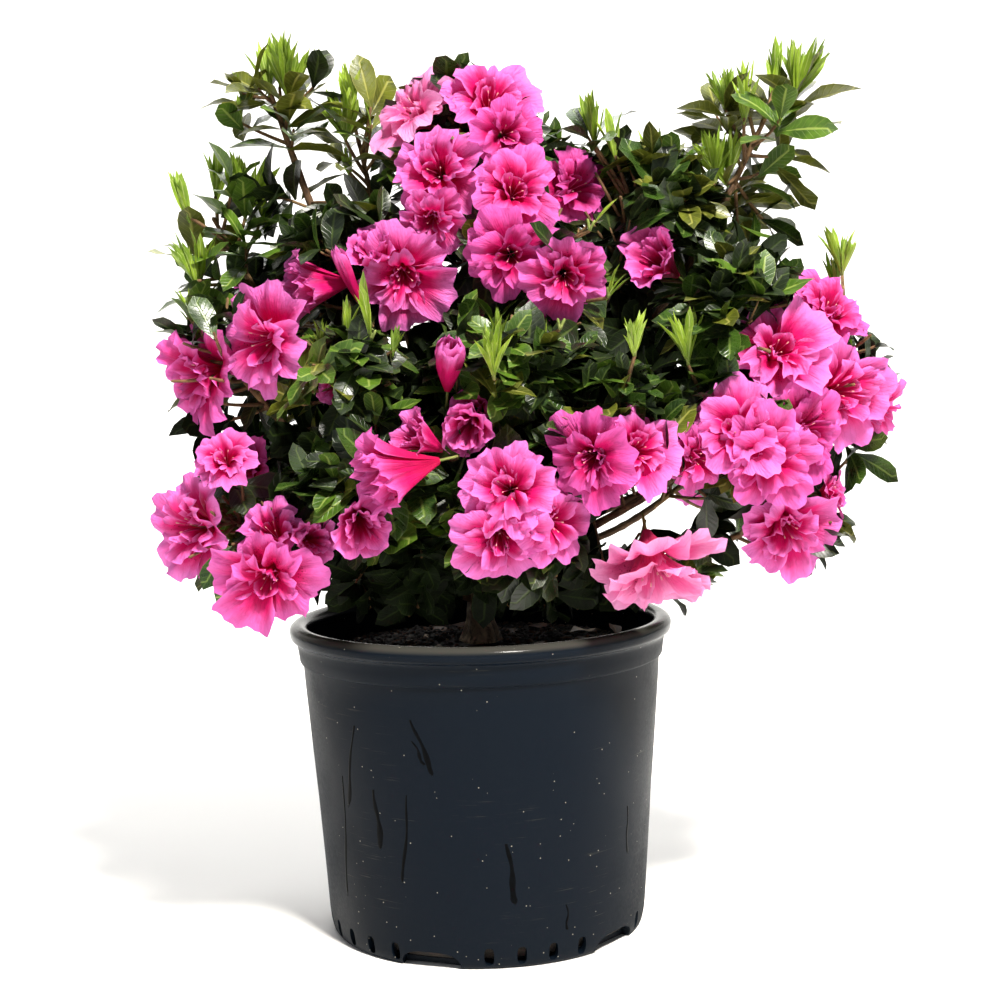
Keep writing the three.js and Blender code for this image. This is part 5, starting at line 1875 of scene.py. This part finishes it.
# ------------------------------------------------------------------ the pot and what it holds
@dataclass
class Pot:
    """The nursery pot: a thin tapering wall, a band and a rolled lip, with slots round its foot. In mm."""

    height: float = 218.0
    lip_radius: float = 133.6
    wall: float = 2.2
    foot_radius: float = 112.0
    foot_height: float = 15.0
    under_radius: float = 107.0
    band_foot: float = 192.0
    sides: int = 192
    slots: int = 32
    slot_turn: float = 0.7
    slot_width: float = 6.5
    slot_from: float = 3.0
    slot_to: float = 15.0
    arches: int = 5
    arch_width: float = 42.0
    arch_height: float = 12.0
    arch_turn: float = 20.0
    arch_clear: float = 12.5

    def profile(self) -> list[tuple[float, float]]:
        """Radius and height of the wall's section, up its outside and down its inside."""
        lip, top, under = self.lip_radius, self.height, self.under_radius
        crest = lip - 6.5
        roll = [
            (crest + 6.5 * math.sin(a), top - 5.4 + 5.4 * math.cos(a))
            for a in np.radians(np.linspace(84, -60, 13))
        ]
        return [
            (0, 3.4), (60, 3.2), (95, 2.2), (under - 3, 0.4), (under, 0), (under + 1.6, 0.7),
            (under + 3, 2.5), (under + 4.2, 8), (self.foot_radius, self.foot_height),
            (114.2, 50), (117.2, 95), (120.8, 140), (123.6, 176), (124.5, self.band_foot - 2.2),
            (124.9, self.band_foot - 1.2), (126.3, self.band_foot - 0.5), (126.9, self.band_foot + 0.6),
            (127.6, 198.5), (128.6, 203.6), (129.2, 205.6), (130.6, 206.8), (132.4, 208.0), (133.2, 209.6),
            *roll,
            (120.9, 209), (122.2, 203), (121.6, 180), (118.4, 140), (114.8, 95), (112, 50),
            (self.foot_radius - self.wall, self.foot_height), (under - self.wall + 1, 6), (under - 6, 4.4),
            (0, 5.4),
        ]

    def build(self) -> Piece:
        """The pot, spun from its section and cut by its slots and arches."""
        bm = spun(self.profile(), self.sides)
        for vert in bm.verts:
            if vert.co.xy.length > 90:
                dent = self._dent(math.atan2(vert.co.y, vert.co.x), vert.co.z)
                vert.co += Vector((*(vert.co.xy.normalized() * dent), 0))
        pot = piece_of("pot_shell", bm)
        cutter = self._cutters()
        cut = pot.modifiers.new("openings", "BOOLEAN")
        cut.operation, cut.solver, cut.object = "DIFFERENCE", "EXACT", cutter
        cut.use_self = True
        depsgraph = bpy.context.evaluated_depsgraph_get()
        opened = bpy.data.meshes.new_from_object(pot.evaluated_get(depsgraph))
        pot.modifiers.clear()
        pot.data = opened
        bpy.data.objects.remove(cutter)
        opened.shade_smooth()
        opened.set_sharp_from_angle(angle=math.radians(38))
        return pot

    def _dent(self, bearing: Array | float, height: Array | float) -> Array | float:
        """How far the wall stands out of true, at a bearing in radians and a height."""
        share = height / self.height
        return 1.6 * np.sin(2 * bearing + 0.7) * share * (1 - share) + 0.35 * np.sin(5 * bearing + 3 * share)

    def _cutters(self) -> Piece:
        """The rounded slots and low arches that are cut out of the foot."""
        bm = bmesh.new()
        arches = [360 * i / self.arches - self.arch_turn for i in range(self.arches)]
        for bearing in arches:
            self._cutter(bm, bearing, self.arch_height, self.arch_width / 2, -0.6)
        for i in range(self.slots):
            bearing = self.slot_turn + 360 * i / self.slots
            if min(abs((bearing - arch + 540) % 360 - 180) for arch in arches) > self.arch_clear:
                tall, middle = (self.slot_to - self.slot_from) / 2, (self.slot_to + self.slot_from) / 2
                self._cutter(bm, bearing, tall, self.slot_width / 2, middle)
        return piece_of("openings", bm)

    def _cutter(self, bm: BMesh, bearing: float, tall: float, wide: float, level: float) -> None:
        """Adds one rounded bar, fuller than an ellipse, that points out through the wall.

        Args:
            bm: The mesh that it joins.
            bearing: Its bearing from the front, in degrees.
            tall: Half of its height.
            wide: Half of its width.
            level: Height of its middle.
        """
        bar = bmesh.ops.create_cone(bm, segments=28, radius1=1, radius2=1, depth=22.0, cap_ends=True)
        made = bar["verts"]
        for vert in made:
            c, s = vert.co.x, vert.co.y
            vert.co.x = math.copysign(abs(c) ** 0.7, c) * tall
            vert.co.y = math.copysign(abs(s) ** 0.7, s) * wide
        bmesh.ops.rotate(bm, matrix=Matrix.Rotation(math.pi / 2, 3, "Y"), verts=made)
        bmesh.ops.translate(bm, vec=(self.under_radius + 5, 0, level), verts=made)
        bmesh.ops.rotate(bm, matrix=Matrix.Rotation(math.radians(bearing - 90), 3, "Z"), verts=made)

    def water_marks(self) -> Piece:
        """Dark runs where water has crept down the wall, each rounder at its lower end."""
        marks = (
            (-141.3, 124, -145.8, 38, 1.5), (-133.6, 161, -140.0, 103, 1.7), (-127.2, 119, -126.0, 78, 2.3),
            (-114.5, 118, -118.2, 57, 1.3), (-111.6, 169, -105.2, 132, 2.0), (-111.6, 155, -108.0, 139, 1.4),
            (-82.6, 86, -80.0, 44, 2.2), (-62.0, 40, -61.6, 22, 1.0), (-34.0, 96, -33.0, 62, 1.4),
            (22.0, 130, 20.5, 84, 1.6), (76.0, 120, 75.0, 60, 1.8), (131.0, 138, 133.0, 96, 1.5),
        )
        heights = [15, 50, 95, 140, 176, 190]
        radii = [112, 114.2, 117.2, 120.8, 123.6, 124.5]
        rng = np.random.default_rng(9)
        bm = bmesh.new()
        for start, high, end, low, wide in marks:
            phase = rng.uniform(0, 6)

            def shape(u: Array, v: Array, row: tuple = (start, high, end, low, wide, phase)) -> Array:
                """Places on one run, which thickens towards its lower end."""
                start, high, end, low, wide, phase = row
                height = high + (low - high) * v
                bearing = np.radians(start + (end - start) * v)
                radius = np.interp(height, heights, radii) + 0.34 * (1 - u**2) - 0.1
                radius = radius + self._dent(bearing, height)
                half = 1.35 * wide * (0.45 + 0.55 * v**1.3) * np.clip((1 - v) * 11, 0, 1) ** 0.5
                half = half * (1 + 0.2 * np.sin(15 * v + phase))
                bearing = bearing + (u * half + 0.8 * np.sin(7 * v + phase)) / radius
                return np.stack([radius * np.cos(bearing), radius * np.sin(bearing), height], axis=1)

            add_sheet(bm, 4, 22, shape)
        bmesh.ops.recalc_face_normals(bm, faces=bm.faces[:])
        pattern = Pattern.taken_from(bm)
        return mesh_piece("water_marks", pattern.points * MM, pattern.faces, pattern.uv)


@dataclass
class Filling:
    """The potting mix in the pot, with its chips and what has fallen on it. In mm."""

    level: float = 192.0
    crown: float = 8.0
    radius: float = 121.6
    foot_radius: float = 104.0
    sides: int = 96
    chips: int = 2600
    seed: int = 77

    def height(self, x: float, y: float) -> float:
        """Height of the surface at a place."""
        share = math.hypot(x, y) / self.radius
        swell = noise.noise(Vector((x / 34, y / 34, 0.3))) * 3.0
        swell += noise.noise(Vector((x / 9, y / 9, 4))) * 1.6
        return self.level + self.crown * max(0.0, 1 - share**1.5) * 0.75 + swell * (1 - share**6)

    def build(self) -> Piece:
        """The mix: a plug that fills the pot under a lumpy surface."""
        rings = [0.0, 8, 16, 24, 32, 40, 48, 56, 64, 72, 80, 88, 95, 102, 109, 115, 119, self.radius]
        section = [(r, 0.0) for r in rings] + [(109.6, -177.0), (self.foot_radius, -186.0), (0.0, -187.5)]
        bm = spun([(radius, self.level + drop) for radius, drop in section], self.sides)
        for vert in bm.verts:
            if vert.co.z > self.level - 1:
                vert.co.z = self.height(vert.co.x, vert.co.y)
        return piece_of("potting_mix_body", bm)

    def _chip(self, seed: int) -> Pattern:
        """A broken chip of bark or peat, one unit across."""
        rng = np.random.default_rng(seed)
        bm = bmesh.new()
        bmesh.ops.create_icosphere(bm, subdivisions=1, radius=0.5)
        for vert in bm.verts:
            vert.co *= rng.uniform(0.6, 1.15)
            vert.co.z *= 0.55
        return Pattern.taken_from(bm)

    def litter(self) -> list[tuple[Piece, "Finish"]]:
        """Chips, pale bits and fallen leaves, each kind with its finish."""
        rng = np.random.default_rng(self.seed)
        chips = Drift("chips", [self._chip(i) for i in range(6)])
        for tone, count, small, large in ((0, self.chips, 2.0, 6.5), (1, 420, 2.0, 7.5), (2, 70, 1.2, 3.2)):
            radius = np.sqrt(rng.uniform(0.02, 0.97, count)) * (self.radius - 2)
            angle = rng.uniform(0, 2 * math.pi, count)
            x, y = radius * np.cos(angle), radius * np.sin(angle)
            z = np.array([self.height(a, b) for a, b in zip(x, y)]) + 0.4
            way = unit(rng.normal(0, 1, (count, 3)) * (1, 1, 0.35))
            face = UP + rng.normal(0, 0.4, (count, 3))
            size = rng.uniform(small, large, count)
            chips.lay(np.stack([x, y, z], axis=1), way, face, size, tone, rng.integers(0, 6, count))
        fallen = Drift("fallen_leaves", [shape.pattern() for shape in LEAF_SHAPES])
        spots = ((-30, -84, 0), (24, -101, 2), (74, -72, 1), (-78, -62, 0), (58, -84, 0), (-8, -70, 1))
        count = 34
        radius = np.sqrt(rng.uniform(0.1, 0.93, count)) * (self.radius - 8)
        angle = rng.uniform(0, 2 * math.pi, count)
        tones = rng.integers(0, 2, count)
        every = [(r * math.cos(a), r * math.sin(a), int(t)) for r, a, t in zip(radius, angle, tones)]
        for x, y, tone in (*spots, *every):
            way = unit(rng.normal(0, 1, 3) * (1, 1, 0.12))
            if math.hypot(x + 32 * way[0], y + 32 * way[1]) > self.radius - 4:
                way = unit(way * (0, 0, 1) - unit(np.array([x, y, 0.0])))
            place = np.array([x, y, self.height(x, y) + 2.2])
            face = UP + rng.normal(0, 0.22, 3)
            size = np.array([rng.uniform(22, 32)])
            fallen.lay(place[None], way[None], face[None], size, tone, rng.integers(0, 5, 1))
        kinds = {
            0: EarthFinish("peat_chips", "0d0907", "2b1c12", 240.0),
            1: EarthFinish("bark_chips", "2a180d", "5d3c22", 300.0),
            2: EarthFinish("pale_bits", "8a7a62", "c8baa0", 400.0),
        }
        old = {
            0: LeafFinish("leaf_brown", "6b3d16", "3c210d", "8a5a2c", 0.6),
            1: LeafFinish("leaf_tan", "8a6430", "553a1a", "a88550", 0.6),
            2: LeafFinish("leaf_dropped", "5c8a2a", "40661c", "95b257", 0.4),
        }
        lots = ((chips, kinds), (fallen, old))
        return [(piece, look[tone]) for lot, look in lots for tone in look for piece in lot.pieces(tone)]


# ------------------------------------------------------------------ floor, light and camera
@dataclass
class Studio:
    """The pale floor with its raised back, the soft lights and the camera. In metres."""

    place: Triple = (0.016, -1.311, 0.427)
    pitch: float = 5.57
    roll: float = -1.46
    lens: float = 67.82
    floor: str = "f4f3f0"

    def build(self) -> None:
        """Sets everything up."""
        self._floor()
        self._lamp("key", (0.85, -1.75, 2.75), 0.5, 244.0, "fffaf2")
        self._lamp("fill", (-2.2, -1.9, 1.3), 2.6, 7.0, "eaf1ff")
        self._lamp("back", (-0.6, 2.2, 2.6), 1.6, 30.0, "ffffff")
        self._lamp("wall", (0.0, 1.6, 3.6), 3.0, 190.0, "ffffff", (0.0, 4.2, 1.6))
        world = bpy.data.worlds.new("studio")
        world.use_nodes = True
        ground = world.node_tree.nodes["Background"]
        ground.inputs["Color"].default_value = (0.93, 0.96, 1.0, 1.0)
        ground.inputs["Strength"].default_value = 0.22
        scene = bpy.context.scene
        scene.world = world
        scene.view_settings.view_transform = "Standard"
        scene.view_settings.look = "None"
        self._camera()

    def _floor(self) -> None:
        """A floor that turns up into a plain back wall."""
        bm = bmesh.new()
        line = [(-9.0, 0.0), (2.6, 0.0)]
        turns = np.radians(np.arange(10, 91, 10))
        line += [(2.6 + 1.6 * math.sin(a), 1.6 - 1.6 * math.cos(a)) for a in turns]
        line += [(4.2, 7.0)]
        verts = [bm.verts.new((-9.0, y, z)) for y, z in line]
        edges = [bm.edges.new(pair) for pair in zip(verts, verts[1:])]
        made = bmesh.ops.extrude_edge_only(bm, edges=edges)["geom"]
        far = [g for g in made if isinstance(g, bmesh.types.BMVert)]
        bmesh.ops.translate(bm, vec=(18.0, 0, 0), verts=far)
        floor = piece_of("studio_floor", bm, 1.0)
        w = Wiring("studio_paper")
        soft = w.noise(w.object_place(), 3.0, 2.0)
        colour = w.blend(w.span(soft, 0.3, 0.7, 0.0, 0.04), self.floor, "e6e5e2")
        floor.data.materials.append(w.close(Base_Color=colour, Roughness=0.9))

    def _lamp(
        self, name: str, place: Triple, size: float, power: float, tint: str,
        at: Triple = (0.02, 0.0, 0.33),
    ) -> None:
        """A round soft lamp that looks at a place, or else at the middle of the plant."""
        data = bpy.data.lights.new(name, "AREA")
        data.shape, data.size, data.energy = "DISK", size, power
        data.color = paint(tint)[:3]
        lamp = bpy.data.objects.new(name, data)
        lamp.location = place
        aim = Vector(at) - lamp.location
        lamp.rotation_euler = aim.to_track_quat("-Z", "Y").to_euler()
        bpy.context.scene.collection.objects.link(lamp)

    def _camera(self) -> None:
        """The camera, level but for a slight look down and a slight roll."""
        tip, roll = math.radians(self.pitch), math.radians(self.roll)
        ahead = Vector((0, math.cos(tip), -math.sin(tip)))
        right = Vector((1, 0, 0))
        up = right.cross(ahead)
        across = right * math.cos(roll) + up * math.sin(roll)
        above = up * math.cos(roll) - right * math.sin(roll)
        data = bpy.data.cameras.new("view")
        data.lens, data.sensor_width = self.lens, 36.0
        camera = bpy.data.objects.new("view", data)
        turn = Matrix((across, above, -ahead)).transposed()
        camera.matrix_world = Matrix.Translation(self.place) @ turn.to_4x4()
        bpy.context.scene.collection.objects.link(camera)
        bpy.context.scene.camera = camera


# ------------------------------------------------------------------ all of it
def main() -> None:
    """Builds the pot, the limbs, the crown and the studio, in that order."""
    logging.basicConfig(level=logging.INFO, format="%(name)s: %(message)s")
    pot = Pot()
    shell = PlasticFinish("pot_plastic", "060f19", "4c4a42", "b0ab9e")
    settle(pot.build(), shell, ("pot",))
    settle(pot.water_marks(), WetFinish(), ())
    filling = Filling()
    mix = EarthFinish("potting_mix", "0b0806", "24180f")
    settle(filling.build(), mix, ("potting_mix",))
    for piece, finish in filling.litter():
        settle(piece, finish, ())
    trunk = Trunk()
    old_bark = BarkFinish("old_bark", "8a7358", "4a3826", "c2ab86", 0.0014)
    settle(trunk.build(), old_bark, ("trunk",))
    limbs = Limbs(trunk)
    bough_bark = BarkFinish("bough_bark", "5d432b", "33231a", "8b6c49", 0.0008)
    settle(limbs.build(), bough_bark, BOUGH_NODES)
    crown = Crown(limbs)
    crown.grow()
    crown.dress()
    Studio().build()


if __name__ == "__main__":
    main()
